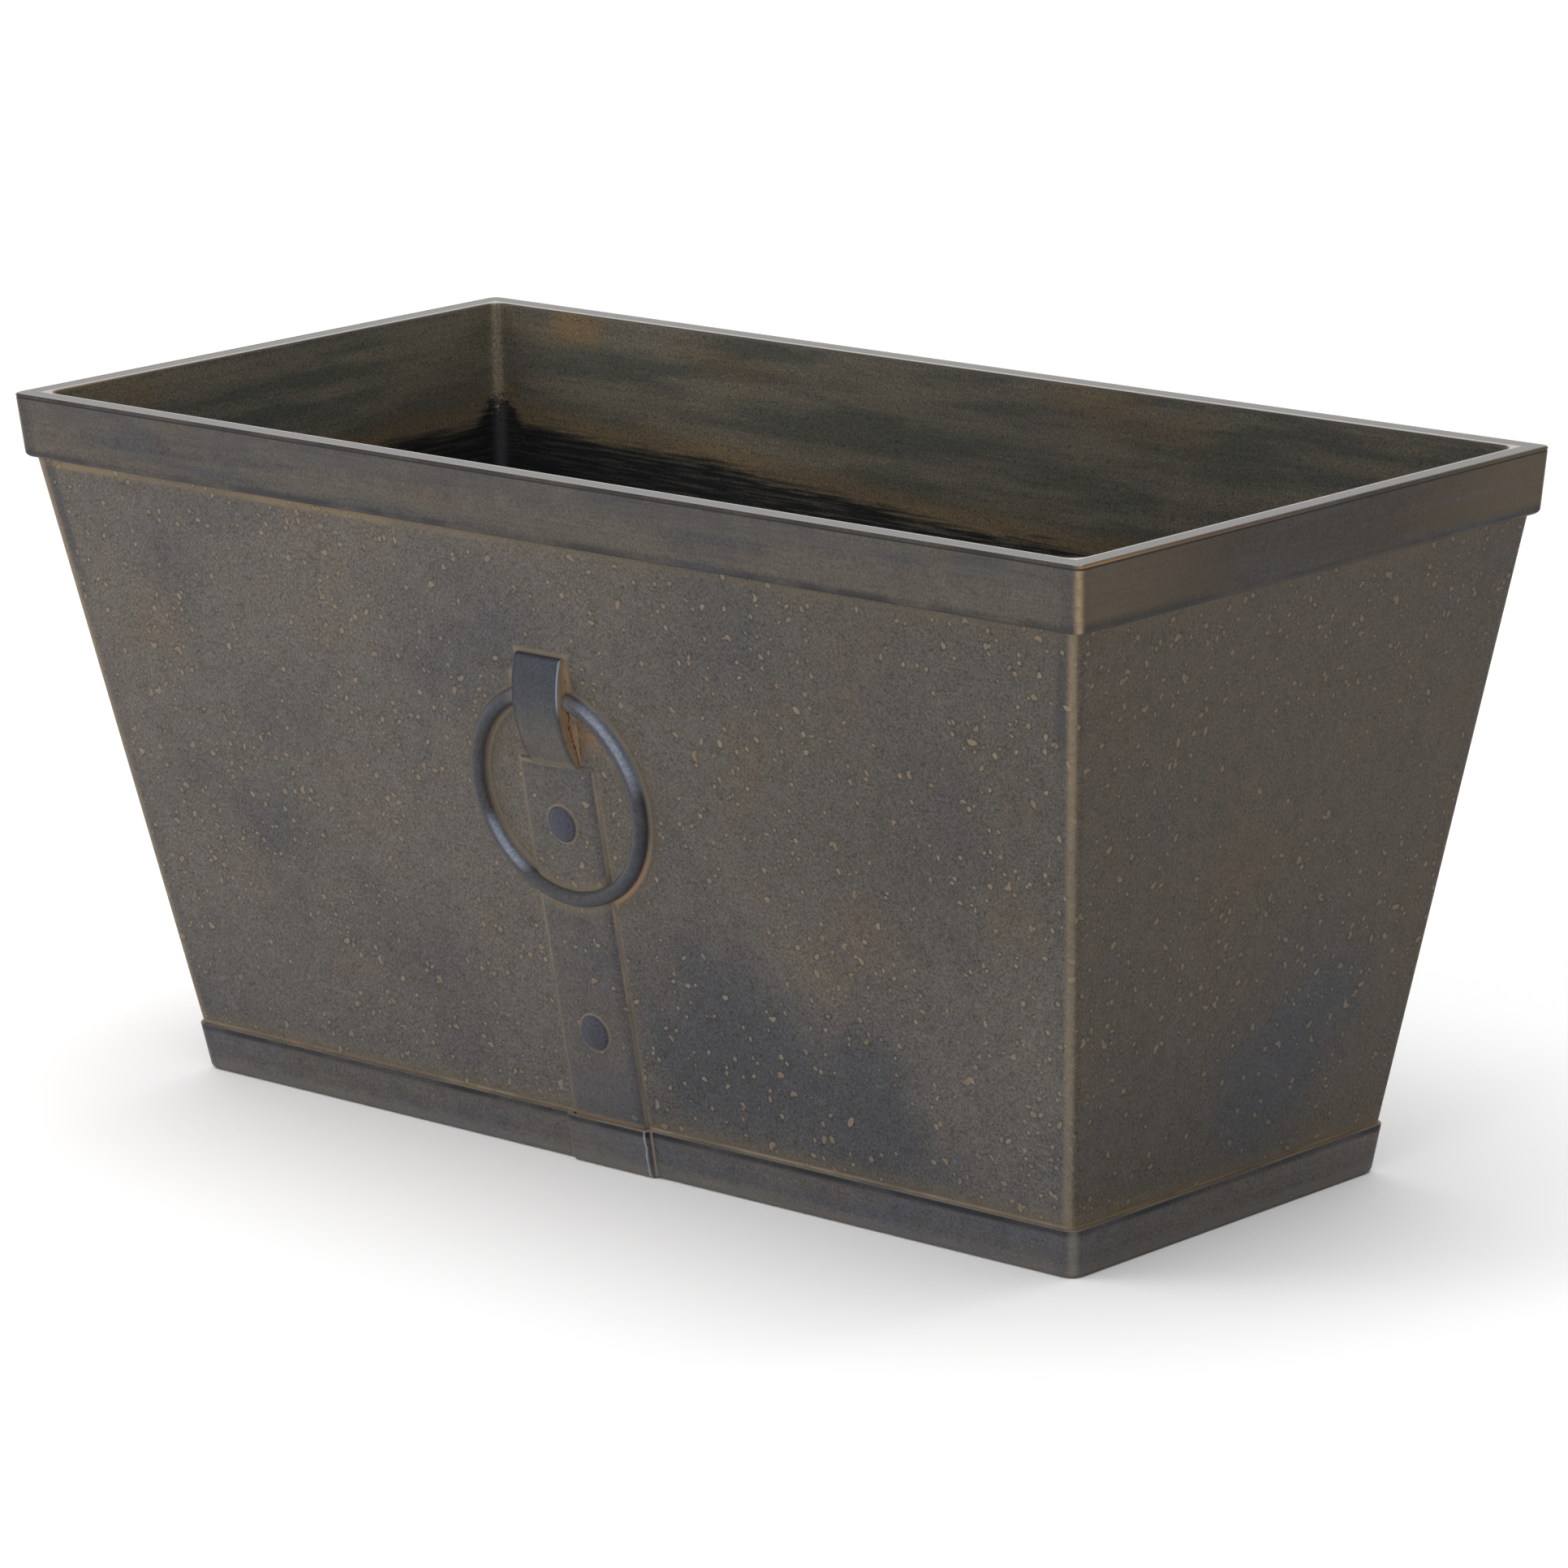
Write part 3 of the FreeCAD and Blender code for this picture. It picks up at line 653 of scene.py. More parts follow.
# The round under the face, as rise and place out from the wall, and the groove, as height and depth
RIM_FOOT_ROUND = ((0, 0), (0, 1.6), (0.15, 2.3), (0.55, 2.86), (1.15, 3.26), (1.9, 3.43))
RIM_GROOVE = ((284, 0), (306.1, 0), (306.35, 0.2), (306.65, 0.22), (306.9, 0))

BAND_BROWN = (78, 73, 66)
BAND_SLATE = (62, 61, 63)
END_BAND_BROWN = (60, 52, 43)
LOW_EDGE_SHADE = (26, 28, 36)
HIGH_EDGE_DARK = (56, 58, 64)
RIM_CORNER_DARK_BAND = (42, 44, 54)
END_EDGE_DARK = (38, 34, 28)
END_WARM = (104, 90, 68)
RIM_CORNER_TAN = (158, 137, 111)
BEAD_RUST = (142, 106, 70)
LAND_DARK = (80, 77, 74)
LAND_PALE = (101, 97, 92)
LAND_OUTER_HIGHLIGHT = (138, 133, 128)
LAND_INNER_HIGHLIGHT = (178, 174, 169)


def collar_loop(height, out, radius, stations=(), step_out=None):
    """A rectangle with round corners about the trough, at a height and out from the wall's face.
    Stations are places along the long sides, each pushed out further by the step rule."""
    half_x = WALL_FOOT_X + LEAN * height + out
    half_y = WALL_FOOT_Y + LEAN * height + out
    points = []
    for quarter, (side_x, side_y) in enumerate(((1, -1), (1, 1), (-1, 1), (-1, -1))):
        for step in range(CORNER_STEPS + 1):
            angle = math.radians(90 * (quarter - 1 + step / CORNER_STEPS))
            points.append(Vector((
                side_x * (half_x - radius) + radius * math.cos(angle),
                side_y * (half_y - radius) + radius * math.sin(angle),
                height,
            )))
        if quarter in (1, 3):
            for station in (reversed(stations) if quarter == 1 else stations):
                points.append(Vector((station, side_y * (half_y + step_out(station)), height)))
    return points


def skin(name, loops, closed, material):
    """A closed skin in mm through loops of equally many points: round in a ring, or with flat ends."""
    form = bmesh.new()
    rows = [[form.verts.new(point * MM) for point in loop] for loop in loops]
    count = len(rows[0])
    for number in range(len(rows) if closed else len(rows) - 1):
        row, after = rows[number], rows[(number + 1) % len(rows)]
        for step in range(count):
            onward = (step + 1) % count
            form.faces.new((row[step], row[onward], after[onward], after[step]))
    if not closed:
        form.faces.new(rows[0])
        form.faces.new(rows[-1])
    bmesh.ops.recalc_face_normals(form, faces=form.faces)
    mesh = bpy.data.meshes.new(name)
    form.to_mesh(mesh)
    form.free()
    mesh.shade_smooth()
    mesh.set_sharp_from_angle(angle=FLAT_LIMIT)
    mesh.materials.append(material)
    piece = bpy.data.objects.new(name, mesh)
    bpy.context.scene.collection.objects.link(piece)
    piece.modifiers.new("even_shading", "WEIGHTED_NORMAL").keep_sharp = True
    return piece


def rim_face(height):
    """How far the rim band's face stands out from the wall's at a height."""
    share = (height - RIM_FACE_FOOT) / (RIM_TOP - RIM_EDGE_ROUND - RIM_FACE_FOOT)
    return RIM_FOOT_OUT + (RIM_TOP_OUT - RIM_FOOT_OUT) * share


def rounded_edge(out, way, radius):
    """The rim's top edge, turned over with a round: heights and places out from the wall."""
    turns = [math.radians(90 * step / EDGE_STEPS) for step in range(EDGE_STEPS + 1)]
    return [(
        RIM_TOP - radius * (1 - math.sin(turn)),
        out - way * radius * (1 - math.cos(turn)) - LEAN * radius * math.sin(turn),
    ) for turn in turns]


rim_profile = [(RIM_FOOT + rise, out) for rise, out in RIM_FOOT_ROUND]
rim_profile += [(height, rim_face(height) - depth) for height, depth in RIM_GROOVE]
rim_profile += rounded_edge(RIM_TOP_OUT, 1, RIM_EDGE_ROUND)
rim_loops = [collar_loop(height, out, OUTER_CORNER) for height, out in rim_profile]
inner_edge = reversed(rounded_edge(-WALL_WIDTH, -1, RIM_INNER_ROUND))
rim_loops += [collar_loop(height, out, INNER_CORNER + out + WALL_WIDTH) for height, out in inner_edge]
rim_loops += [collar_loop(CAP_FOOT, -WALL_WIDTH, INNER_CORNER), collar_loop(CAP_FOOT, 0, OUTER_CORNER)]

rim_paint, w = new_paint("brushed_rim")
place = w.use("trough_place")
w.place = place["Place"]
long_face = place["Long face"]
on_end = w.minus(1, long_face)
marks = brush(w, place, 45, 1.1)
sweep = brush(w, place, 130, 9)
brown = w.blend(long_face, END_BAND_BROWN, BAND_BROWN)
grain = antique(w, place, brown, BAND_SLATE, w.swing(sweep, 1.2), 1.9)
patchy = w.ease(w.noise(36), 0.38, 0.62)
# Painted shade in the crease along the band's lower edge
low_edge_shade = w.ease(place["Height"], w.spread(long_face, 283.4, 284.8), w.spread(long_face, 281.2, 281.4))
low_edge_shade = w.times(low_edge_shade, w.spread(patchy, w.spread(long_face, 0.35, 0.3), 1))
w.lay(low_edge_shade, LOW_EDGE_SHADE, 0.75)
high_edge = w.times(w.between(place["Height"], 290, 302, 305, 307), long_face, w.spread(patchy, 0.35, 1))
w.lay(high_edge, HIGH_EDGE_DARK, 0.42)
# A dark bluish band beside the corner on the long faces
corner_dark_band = w.times(w.between(place["Corner"], 3, 4.6, 6.5, 12), long_face)
w.lay(corner_dark_band, RIM_CORNER_DARK_BAND, 0.35)
edge_dark = w.times(w.between(place["Corner"], 3, 4, 5, 9), on_end)
w.lay(edge_dark, END_EDGE_DARK, 0.25)
warm = w.times(w.ease(place["Corner"], 110, 8), on_end, w.ease(place["Height"], 282.5, 286))
w.lay(warm, END_WARM, 0.38)
# The corner's tan strip: partly wear, partly painted highlight on the round
wear_and_highlight_strip = w.times(w.ease(place["Corner"], 4, 0), wear_and_highlight_patches(w))
w.lay(wear_and_highlight_strip, RIM_CORNER_TAN, 0.8)

# The groove, painted dark as its painted shade, and the rusty bead between it and the land on the
# end face
w.lay(w.between(place["Height"], 305.7, 306.2, 306.6, 306.85), INK, 0.75)
bead = w.times(w.between(place["Height"], 306.7, 306.95, 307.5, 307.9), on_end,
               w.ease(place["Corner"], 70, 5, 0.3, 1), w.ease(w.parts(w.place)[1], 40, -60))
w.lay(bead, BEAD_RUST, 0.85)
w.colour = w.scaled(w.colour, w.swing(marks, 0.65, 1))
under_edge = w.times(w.ease(place["Height"], 306.3, 306.9), w.spread(patchy, 0.6, 1), long_face)
w.lay(under_edge, INK, 0.7)

# The land: paler than the band, partly as rubbed paint and partly as painted light on this top face,
# with a painted highlight along both of its rounded edges
from_outer = w.plus(place["Depth"], RIM_TOP_OUT)
from_inner = w.minus(WALL_WIDTH, place["Depth"])
land_edge = w.ease(from_outer, w.spread(on_end, 0.5, 1.5), w.spread(on_end, 1.1, 2.3))
land = w.times(w.ease(place["Height"], 307.6, 307.9), land_edge)
land_colour = w.blend(marks, LAND_DARK, LAND_PALE)
outer_highlight = w.ease(from_outer, 3, 1.6, 0, w.spread(long_face, 0.75, 0.35))
land_colour = w.blend(outer_highlight, land_colour, LAND_OUTER_HIGHLIGHT)
land_colour = w.blend(w.ease(from_inner, 2.6, 0.9, 0, 0.8), land_colour, LAND_INNER_HIGHLIGHT)
w.lay(land, land_colour)
inside = w.times(w.calc("GREATER_THAN", place["Depth"], 5), w.calc("LESS_THAN", place["Height"], 307.4))
smooth = w.calc("MAXIMUM", land, w.ease(from_inner, 1.7, 1.2))
w.lay(inside, w.use("brushed_inside", place)["Colour"])
relief = w.calc("MULTIPLY_ADD", marks, w.spread(land, 0.3, 0.1), w.times(grain, 0.5))
dry(w, w.pick(smooth, w.spread(marks, 0.34, 0.56), 0.24), relief, 0.12)

rim_band = skin("rim_band_skin", rim_loops, True, rim_paint)
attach(rim_band, "planter")
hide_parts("rim_band")


# Foot band: the collar round the foot, which steps out over the foot of each strap. It is one with
# the moulding, painted darker and bluer than the wall.
STEP_HALF = 23.2
STEP_ROUND_OUT = 0.8
STEP_ROUND_IN = 0.6
STRAP_PROUD = 2.4
STRAP_OUT = STRAP_PROUD / math.cos(WALL_LEAN)
BAND_TOP_OUT = 1.9
BAND_FOOT_OUT = 2.3
BAND_ROUND = 0.7
FOOT_CORNER = 6.5
STRAP_ROOM_START = 0.9
STRAP_ROOM_FULL = 0.1
STATION_PLACES = (20.4, 20.8, 21.2, 21.6, 22, 22.3, 22.6, 22.9, 23.2, 23.5, 23.8, 24.1, 24.5)
# The band's face, as heights and places out from the wall
FOOT_PROFILE = (
    (0, 0.3), (0.2, 1.1), (0.65, 1.75), (1.3, 2.1), (2.2, 2.26), (3.4, 2.24), (19, 1.94),
    (20.8, BAND_TOP_OUT), (21.3, 1.7), (BAND_TOP, BAND_TOP_OUT - BAND_ROUND),
)

FOOT_BROWN = (80, 77, 75)
FOOT_SLATE = (71, 73, 80)
END_FOOT_BROWN = (86, 81, 76)
END_FOOT_SLATE = (76, 75, 77)
STEP_PALE = (104, 99, 92)
LOW_PAINTED_LIGHT = (112, 107, 101)
CREASE_SHADE = (26, 27, 32)
LEDGE_TAN = (132, 120, 103)
FOOT_CORNER_DARK_BAND = (44, 46, 56)
FOOT_CORNER_PALE = (132, 124, 114)
STEP_LEFT_TAN = (128, 115, 96)
STEP_RIGHT_WASH_AND_LIGHT = (152, 135, 116)
STEP_EDGE_HIGHLIGHT = (142, 148, 158)


def soft_share(value, start, end):
    """A soft curve from 0 at start to 1 at end."""
    share = min(1, max(0, (value - start) / (end - start)))
    return share * share * (3 - 2 * share)


def step_over_strap(height):
    """The rule for the band's face, which steps out where the strap is behind it."""
    full = STRAP_OUT - (BAND_FOOT_OUT - BAND_TOP_OUT) * (1 - height / BAND_TOP)
    start, end = -STEP_HALF - STEP_ROUND_OUT, -STEP_HALF + STEP_ROUND_IN
    return lambda station: full * soft_share(-abs(station), start, end)


def room_for_strap(station):
    """The rule for the band's back, which makes room for the strap."""
    start, end = -STRAP_HALF - STRAP_ROOM_START, -STRAP_HALF - STRAP_ROOM_FULL
    return STRAP_OUT * soft_share(-abs(station), start, end)


stations = [-station for station in reversed(STATION_PLACES)] + list(STATION_PLACES)
foot_loops = [collar_loop(0, 0, OUTER_CORNER, stations, room_for_strap)]
for height, out in FOOT_PROFILE:
    foot_loops.append(collar_loop(height, out, FOOT_CORNER, stations, step_over_strap(height)))
foot_loops.append(collar_loop(BAND_TOP, 0, OUTER_CORNER, stations, room_for_strap))

foot_paint, w, place, gap = trough_paint("brushed_foot")
long_face = place["Long face"]
marks = brush(w, place, 40, 1.2)
sweep = brush(w, place, 120, 10)
# Painted shade: a little more slate towards the front's right end of each long face, and on the ends
to_right = w.ease(place["Along"], -240, 60, 0, 0.1)
brown = w.blend(long_face, END_FOOT_BROWN, FOOT_BROWN)
slate = w.blend(long_face, END_FOOT_SLATE, FOOT_SLATE)
grain = antique(w, place, brown, slate, w.swing(sweep, 1, to_right), 2)
patchy = w.ease(w.noise(36), 0.38, 0.62)
past_step = w.minus(w.calc("ABSOLUTE", gap["Across"]), STEP_HALF)
over_step = w.times(w.ease(past_step, 1, -2), long_face)
w.lay(over_step, STEP_PALE, 0.2)
# Painted light: the band's lower part, over its rounded foot, made lighter
w.lay(w.ease(place["Height"], 9, 2.5), LOW_PAINTED_LIGHT, 0.35)
# Painted shade in the crease along the band's top
crease_shade = w.times(w.between(place["Height"], 17.6, 19.8, 20.9, 21.2), w.spread(patchy, 0.6, 1))
w.lay(crease_shade, CREASE_SHADE, 0.85)
ledge = w.times(w.ease(place["Height"], 21.1, 21.4), w.spread(patchy, 0.4, 1))
w.lay(ledge, LEDGE_TAN, 0.7)
# A faint dark bluish band beside the corner on the long faces
corner_dark_band = w.times(w.between(place["Corner"], 4, 6, 7, 12), long_face)
w.lay(corner_dark_band, FOOT_CORNER_DARK_BAND, 0.15)
# The corner's pale strip: partly wear, partly painted highlight on the round
wear_and_highlight_strip = w.times(w.ease(place["Corner"], 4.5, 0.6), w.spread(patchy, 0.6, 1))
w.lay(wear_and_highlight_strip, FOOT_CORNER_PALE, 0.55)
# Tan wash beside the step's sides; the right one lies in shade and is painted lighter, as painted light
right = w.calc("GREATER_THAN", gap["Across"], 0)
beside = w.between(past_step, w.spread(right, -0.4, 0.1), w.spread(right, 0.1, 0.6), 0.8,
                   w.spread(right, 2.6, 1.4))
beside_colour = w.blend(right, STEP_LEFT_TAN, STEP_RIGHT_WASH_AND_LIGHT)
w.lay(w.times(beside, long_face), beside_colour, 0.75)
# A painted highlight along the step's right edge
wavy = w.calc("MULTIPLY_ADD", w.noise(6, 1), 2.4, w.minus(past_step, 1.2))
edge_highlight = w.times(w.between(wavy, -2.3, -1.6, -1.3, -0.7), right, long_face)
w.lay(edge_highlight, STEP_EDGE_HIGHLIGHT, 0.65)
w.colour = w.scaled(w.colour, w.swing(marks, 0.6, 1))
dry(w, w.spread(marks, 0.36, 0.58), w.calc("MULTIPLY_ADD", marks, 0.6, w.times(grain, 0.4)), 0.10)

foot_band = skin("foot_band_skin", foot_loops, True, foot_paint)
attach(foot_band, "planter")
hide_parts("foot_band")


# Straps: a flat strip in relief up the middle of each long face, from under the foot band to square
# shoulders beside the loop. Its edges are soft from the mould and outlined by the wash.
STRAP_ROWS = (3, 60, 120)
STRAP_BACK_HALF = 12.0
STRAP_SUNK = 0.4
# The rounded edge: how far in from the strap's side, and how proud there
SOFT_EDGE = ((0, 0), (0.3, 0.85), (0.7, 1.4), (1.3, 1.82), (2.2, 2.12), (3.6, 2.32), (5.5, 2.4))
SIDES = (("front", -1), ("back", 1))

STRAP_BROWN = (83, 79, 74)
STRAP_SLATE = (67, 67, 72)
FOLD_WASH_AND_SHADE = (52, 54, 62)
OUTLINE_LEFT = (124, 113, 96)
OUTLINE_RIGHT_PAINTED_LIGHT = (150, 139, 123)
RIVET_LINE_TAN = (124, 111, 88)
RING_WASH_TAN = (115, 101, 80)
LOOP_WASH_TAN = (115, 103, 82)
STRAP_LOW_SLATE = (70, 71, 80)
STRAP_FOOT_RUST = (140, 112, 84)


def on_wall(across, slope, proud, side):
    """A point of a long face: across, up its slope and proud of it. Side is -1 in front, 1 behind."""
    forward = WALL_FOOT_Y + slope * math.sin(WALL_LEAN) + proud * math.cos(WALL_LEAN)
    return Vector((across, side * forward, slope * math.cos(WALL_LEAN) - proud * math.sin(WALL_LEAN)))


def strap_loops(side):
    """Sections across the strap, from its foot up to the rounded shoulders."""
    rows = [(slope, STRAP_PROUD) for slope in STRAP_ROWS]
    rows += [(STRAP_TOP - inset, proud) for inset, proud in reversed(SOFT_EDGE)]
    loops = []
    for slope, limit in rows:
        half = [(inset - STRAP_HALF, min(proud, limit)) for inset, proud in SOFT_EDGE]
        half += [(-across, proud) for across, proud in reversed(half)]
        back = [(STRAP_BACK_HALF, -STRAP_SUNK), (-STRAP_BACK_HALF, -STRAP_SUNK)]
        loops.append([on_wall(across, slope, proud, side) for across, proud in half + back])
    return loops


strap_paint, w, place, gap = trough_paint("antiqued_strap")
grain = antique(w, place, STRAP_BROWN, STRAP_SLATE, 0.06, 2.5)
patchy = w.ease(w.noise(28), 0.36, 0.62)
specks = lay_specks(w, place, 0.7)
inset = w.times(gap["Strap"], -1)
right = w.ease(gap["Across"], 0, 6)
# A dark bluish band inside the edges, strongest on the right: partly wash, partly painted shade
fold_wash_and_shade = w.times(w.between(inset, 0.6, 1.8, 2.4, 6), w.spread(right, 0.3, 1))
w.lay(fold_wash_and_shade, FOLD_WASH_AND_SHADE, 0.22)
# Tan wash along both edges; the right one faces away from the light and is painted lighter as painted
# light
left_line = w.times(w.between(inset, 0, 0.5, 1.3, 2.1), w.minus(1, right))
right_line = w.times(w.ease(inset, 0.9, 0.2), right, w.ease(gap["Slope"], 185, 183, 0.4, 1))
outline = w.times(w.plus(left_line, right_line), w.spread(patchy, 0.5, 1))
w.lay(outline, w.blend(right, OUTLINE_LEFT, OUTLINE_RIGHT_PAINTED_LIGHT), 0.75)
w.lay(w.ease(gap["Rivet"], 0.6, 0.1), RIVET_LINE_TAN, 0.65)
w.lay(w.ease(gap["Ring"], 6, 0.4), RING_WASH_TAN, 0.5)
w.lay(w.ease(gap["Loop"], 2.4, 0.3), LOOP_WASH_TAN, 0.4)
over_foot = w.minus(place["Height"], BAND_TOP)
w.lay(w.ease(over_foot, 44, 12), STRAP_LOW_SLATE, 0.35)
w.lay(w.ease(over_foot, 3, 0.8), STRAP_FOOT_RUST, 0.45)
dry(w, w.spread(grain, 0.40, 0.60), w.calc("MULTIPLY_ADD", specks, 0.5, grain), 0.10)

for word, side in SIDES:
    strap = skin(f"{word}_strap_skin", strap_loops(side), False, strap_paint)
    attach(strap, "planter")
    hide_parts(f"{word}_strap")


# Loops: the strap's narrow end, arched over the ring and closed down to the wall. The paint is blue
# at the top and fades to brown below, with a painted highlight along the upper right edge and painted
# shade along the lower one.
LOOP_CROWN = 5.6
LOOP_FOOT_RUN = 2.0
LOOP_STEPS = 26
LOOP_SUNK = 0.3
LOOP_FLAT_HALF = 9.0
LOOP_FLARE_SHARE = 0.28
# The side's flare at its foot: shares of the flare, at shares of the loop's height
LOOP_SIDE = ((0.6, 0.1), (0.28, 0.25), (0.08, 0.45))
# The rounded edge: how far in from the side, and how far down from the loop's back
LOOP_EDGE = ((0, 0.75), (0.1, 0.38), (0.32, 0.14), (0.75, 0))
# The closed end: how far in from the top, and how far down from the loop's back
LOOP_END = ((0.9, 0), (0.5, 0.1), (0.2, 0.3), (0, 0.7))

LOOP_BROWN = (78, 74, 69)
LOOP_BLUE = (58, 61, 68)
LOOP_SLATE = (70, 69, 68)
LOOP_DEEP_BLUE = (52, 56, 65)
LOOP_EDGE_SHADE = (42, 44, 52)
LOOP_EDGE_HIGHLIGHT = (138, 149, 167)
LOOP_SIDE_TOP_PAINTED_LIGHT = (138, 122, 98)
LOOP_SIDE_LOW_PAINTED_LIGHT = (142, 122, 98)
LOOP_RUST = (150, 110, 74)
SIDE_CREASE_SHADE = (50, 36, 28)
LOOP_LEFT_DARK = (38, 40, 48)
LOOP_LOW_TAN = (118, 109, 93)
LOOP_TOP_DARK = (44, 46, 54)


def loop_height(slope):
    """How proud the loop's back is of the wall: an arc on its chord, run on straight below it."""
    half = (LOOP_TOP - STRAP_TOP) / 2
    bow = (half ** 2 + LOOP_CROWN ** 2) / (2 * LOOP_CROWN)
    if slope < STRAP_TOP:
        return STRAP_PROUD - (STRAP_TOP - slope) * half / (bow - LOOP_CROWN)
    return STRAP_PROUD + math.sqrt(bow ** 2 - (slope - STRAP_TOP - half) ** 2) - bow + LOOP_CROWN


def loop_loops(side):
    """Sections across the loop, each a rounded slab that stands on the wall."""
    run = LOOP_TOP - STRAP_TOP + LOOP_FOOT_RUN
    rows = [(STRAP_TOP - LOOP_FOOT_RUN + run * step / LOOP_STEPS, 0) for step in range(LOOP_STEPS)]
    rows += [(LOOP_TOP - inset, drop) for inset, drop in LOOP_END]
    loops = []
    for slope, drop in rows:
        back = loop_height(slope) - drop
        flare = LOOP_FLARE_SHARE * back
        half = [(LOOP_HALF + flare, -LOOP_SUNK)]
        half += [(LOOP_HALF + flare * out, back * rise) for out, rise in LOOP_SIDE]
        half += [(LOOP_HALF - inset, back - down) for inset, down in LOOP_EDGE]
        half.append((LOOP_FLAT_HALF, back))
        half = [(across, min(proud, back)) for across, proud in half]
        section = [(-across, proud) for across, proud in half] + half[::-1]
        loops.append([on_wall(across, slope, proud, side) for across, proud in section])
    return loops


loop_paint, w, place, gap = trough_paint("blued_loop")
up_loop = w.ease(gap["Slope"], 196, 222)
brown = w.blend(up_loop, LOOP_BROWN, LOOP_BLUE)
grain = antique(w, place, brown, w.blend(up_loop, LOOP_SLATE, LOOP_DEEP_BLUE), 0, 1.8)
inset = w.minus(LOOP_HALF, w.calc("ABSOLUTE", gap["Across"]))
right = w.calc("GREATER_THAN", gap["Across"], 0)
high = w.ease(gap["Slope"], 208, 217)
# Painted shade inside the lower right edge
edge_shade = w.times(w.between(inset, -0.1, 0.2, 1.4, 2.6), right, w.minus(1, high))
w.lay(edge_shade, LOOP_EDGE_SHADE, 0.5)
# A painted highlight along the upper right edge
edge_highlight = w.times(w.between(inset, -0.1, 0.1, 0.5, 0.9), right, high)
w.lay(edge_highlight, LOOP_EDGE_HIGHLIGHT, 0.75)
# The side face: tan wash, painted much lighter than the wash to lift the shade it lies in, as painted
# light
side_wall = w.ease(inset, 0.15, -0.05)
side_colour = w.blend(w.ease(gap["Slope"], 218, 206), LOOP_SIDE_TOP_PAINTED_LIGHT, LOOP_SIDE_LOW_PAINTED_LIGHT)
uneven = w.spread(w.noise(4, 3, 0.7), 0.15, 1.5)
w.lay(side_wall, side_colour, uneven)
wandering = w.calc("MULTIPLY_ADD", w.noise(4.5, 3, 0.7), 1.5, w.minus(inset, 0.55))
on_side = w.times(w.ease(inset, 0, -0.1), w.ease(gap["Slope"], 234, 226), right)
rusty = w.times(w.between(wandering, -1.1, -0.35, -0.1, 0.25), on_side)
w.lay(rusty, LOOP_RUST, 0.55)
broken = w.ease(w.noise(3, 2, 0.6), 0.36, 0.5)
# Painted shade: a broken dark line on the side, just under its top edge
side_crease_shade = w.times(w.between(wandering, -0.42, -0.3, -0.2, -0.05), on_side, broken)
w.lay(side_crease_shade, SIDE_CREASE_SHADE, 0.8)
left_line = w.times(w.between(inset, -0.1, 0.2, 1.1, 2), w.minus(1, right),
                    w.ease(gap["Slope"], 228, 219, 0.3, 1))
w.lay(left_line, LOOP_LEFT_DARK, 0.7)
w.lay(w.ease(gap["Slope"], 188.5, 185.6), LOOP_LOW_TAN, 0.3)
w.lay(w.ease(gap["Slope"], 231.6, 232.6), LOOP_TOP_DARK, 0.3)
dry(w, w.spread(grain, 0.32, 0.5), grain, 0.08)

for word, side in SIDES:
    loop = skin(f"{word}_loop_skin", loop_loops(side), False, loop_paint)
    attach(loop, "planter")
    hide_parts(f"{word}_loop")


# Rings: a round bar bent to a circle, moulded half sunk into the wall with a small fillet round it.
# Its paint is blue-grey with a metallic look, with a painted highlight, partly dry-brushed paint, on
# the bar near two and eight o'clock, and painted shade beside the upper one.
RING_PROUD = 5.5
RING_STEPS = 128
BAR_CENTRE = RING_PROUD - RING_BAR
# The fillet's skirt, as places out from the bar's centre line and proud of the wall
RING_SKIRT = [(4.3, -0.3), (3.85, 0.3), (3.55, 0.9), (3.43, 1.5)]

RING_GREY = (68, 67, 69)
RING_BLUE = (57, 60, 67)
RING_SHADE = (44, 46, 54)
RING_HIGHLIGHT = (144, 153, 170)
RING_FOOT_TAN = (122, 110, 92)
RING_FOOT_RUST_AND_LIGHT = (174, 140, 110)
RING_NEAR_LOOP = (110, 101, 90)


def ring_loops(side):
    """Sections of the bar round the ring."""
    half = RING_SKIRT + [(
        RING_BAR * math.cos(math.radians(turn)), BAR_CENTRE + RING_BAR * math.sin(math.radians(turn)),
    ) for turn in range(0, 90, 10)]
    section = half + [(0, RING_PROUD)] + [(-out, proud) for out, proud in reversed(half)]
    loops = []
    for step in range(RING_STEPS):
        turn = math.tau * step / RING_STEPS
        loops.append([on_wall((RING_RADIUS + out) * math.sin(turn),
                              RING_CENTRE + (RING_RADIUS + out) * math.cos(turn), proud, side)
                      for out, proud in section])
    return loops


ring_paint, w, place, gap = trough_paint("blued_ring")
grain = antique(w, place, RING_GREY, RING_BLUE, 0.08, 1.7)
proud = w.times(place["Depth"], -math.cos(WALL_LEAN))
turn_x, turn_up = w.parts(gap["Ring turn"])[:2]
past_bar = w.times(w.plus(gap["Ring"], RING_BAR), w.spread(gap["Ring side"], -1, 1))
to_glint = w.plus(w.times(turn_x, 0.79), w.times(turn_up, 0.61))
glint_side = w.times(past_bar, to_glint)
upper_glint = w.ease(to_glint, 0.84, 0.98)
near_glint = w.plus(upper_glint, w.ease(to_glint, -0.92, -0.99))
brushed = w.spread(w.noise(1.4, 3, 0.75), -0.1, 1.8)
# Painted shade beside the upper highlight
shade_side = w.times(w.between(glint_side, -4, -2.8, -1.6, 0.2), upper_glint)
w.lay(shade_side, RING_SHADE, 0.45)
# A painted highlight, partly dry-brushed paint, where the glint light strikes the bar
painted_highlight = w.times(w.between(glint_side, 0.5, 2.3, 3, 3.9), near_glint, brushed)
w.lay(painted_highlight, RING_HIGHLIGHT, 0.75)
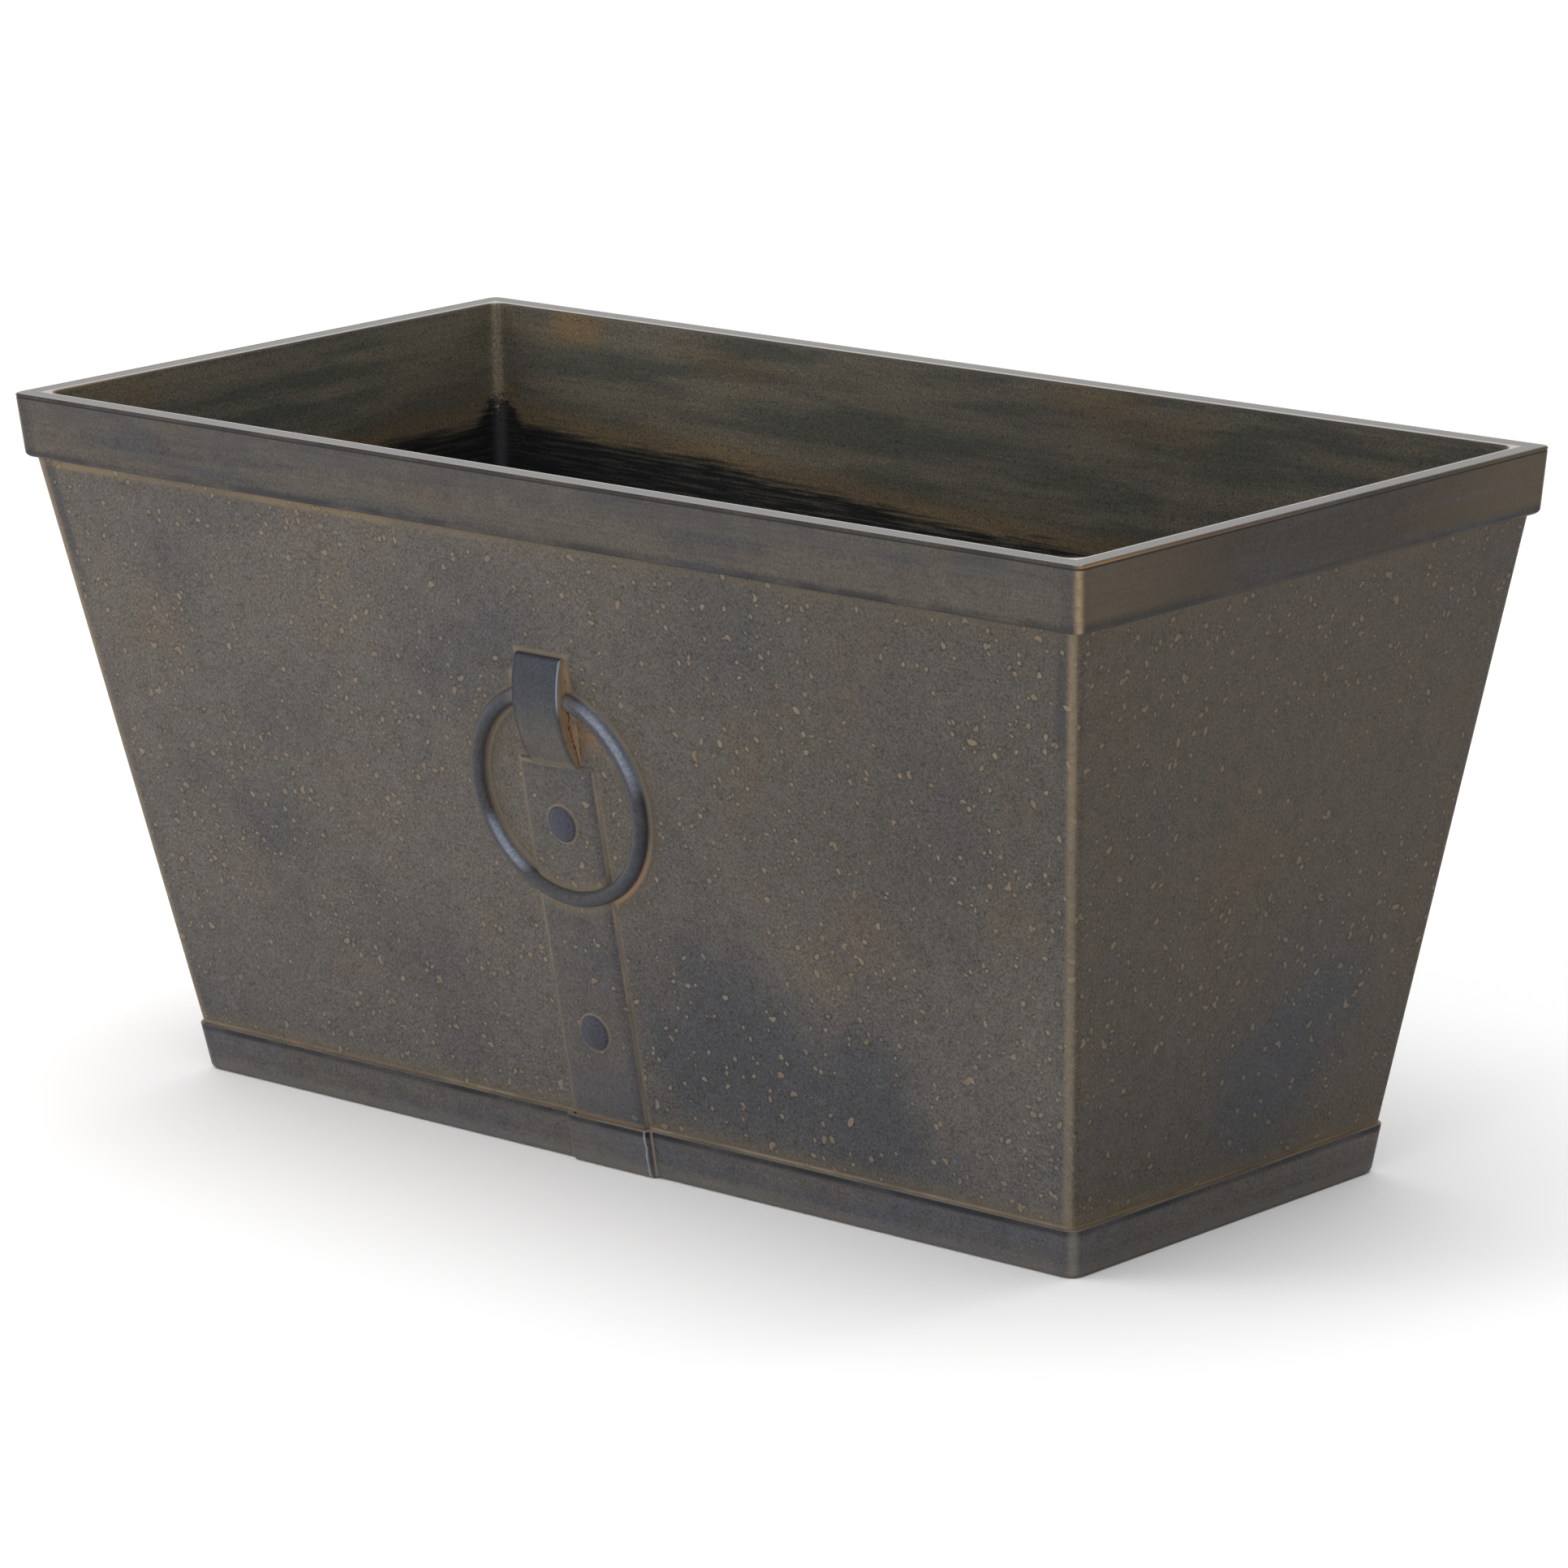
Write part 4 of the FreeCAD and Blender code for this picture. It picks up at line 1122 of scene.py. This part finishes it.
# Tan wash at the bar's foot; at its low right, which lies in shade, it is painted lighter as painted light
inner_left = w.times(w.ease(turn_x, -0.2, -0.8), w.minus(1, gap["Ring side"]))
foot_wash = w.ease(proud, w.spread(inner_left, 1.4, 3.2), w.spread(inner_left, 0.3, 0.8))
w.lay(foot_wash, w.blend(gap["Ring rust"], RING_FOOT_TAN, RING_FOOT_RUST_AND_LIGHT), 0.65)
w.lay(w.ease(gap["Loop"], 8, 0.5), RING_NEAR_LOOP, 0.45)
dry(w, w.spread(grain, 0.26, 0.46), grain, 0.08)

for word, side in SIDES:
    ring = skin(f"{word}_ring_skin", ring_loops(side), True, ring_paint)
    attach(ring, "planter")
    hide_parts(f"{word}_ring")


# Rivets: two low domes on each strap, one within the ring and one well below it. They are moulded in
# one with the strap, fasten nothing, and carry the ring's blue-grey paint.
RIVET_EDGE = 0.8
RIVET_CROWN = 1.5
RIVET_STEPS = 48
# The steep side, as places in from the rivet's radius and proud of the strap, and the dome's rings
RIVET_SIDE = ((-0.1, -0.1), (0.2, 0.08), (0.5, 0.3), (0.75, 0.6), (1, 0.9))
DOME_SHARES = (0.84, 0.76, 0.6, 0.42, 0.22, 0.06)

RIVET_GREY = (64, 64, 74)
RIVET_BLUE = (56, 59, 70)


def rivet_loops(up_slope, side):
    """Circles from the rivet's foot, just under the strap's face, up its dome to a small flat."""
    rings = [(RIVET_RADIUS - inset, STRAP_PROUD + rise) for inset, rise in RIVET_SIDE]
    for share in DOME_SHARES:
        rings.append((RIVET_RADIUS * share, STRAP_PROUD + RIVET_EDGE + RIVET_CROWN * (1 - share ** 2)))
    turns = [math.tau * step / RIVET_STEPS for step in range(RIVET_STEPS)]
    return [[on_wall(radius * math.sin(turn), up_slope + radius * math.cos(turn), proud, side)
             for turn in turns] for radius, proud in rings]


rivet_paint, w, place, gap = trough_paint("blued_rivet")
grain = antique(w, place, RIVET_GREY, RIVET_BLUE, 0.1, 2)
w.lay(w.ease(gap["Rivet"], -0.85, -0.45), RIVET_LINE_TAN, 0.65)
dry(w, w.spread(grain, 0.34, 0.54), grain, 0.08)

for word, side in SIDES:
    for rivet_word, up_slope in zip(("upper", "lower"), RIVET_PLACES):
        rivet = skin(f"{word}_rivet_{rivet_word}_skin", rivet_loops(up_slope, side), False, rivet_paint)
        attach(rivet, "planter")
        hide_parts(f"{word}_rivet_{rivet_word}")


# Drain plugs: two soft rubber stoppers pushed into the floor's holes, each with a knob to pull it
# by. Black rubber with a dusty bloom from storage.
RUBBER_BLACK = (26, 26, 27)
RUBBER_BLOOM = (44, 44, 45)
BLOOM_WIDTH = 0.004
SPECKLE_WIDTH = 0.0006

rubber, w = new_paint("plug_rubber")
w.place = w.add("TexCoord").outputs["Object"]
bloom = w.noise(BLOOM_WIDTH, 3, 0.6)
w.colour = w.blend(w.ease(bloom, 0.4, 0.7), RUBBER_BLACK, RUBBER_BLOOM)
dry(w, w.spread(bloom, 0.55, 0.8), w.noise(SPECKLE_WIDTH, 1), 0.08)
for word in ("left", "right"):
    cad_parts[f"drain_plug_{word}"].material_slots[0].material = rubber
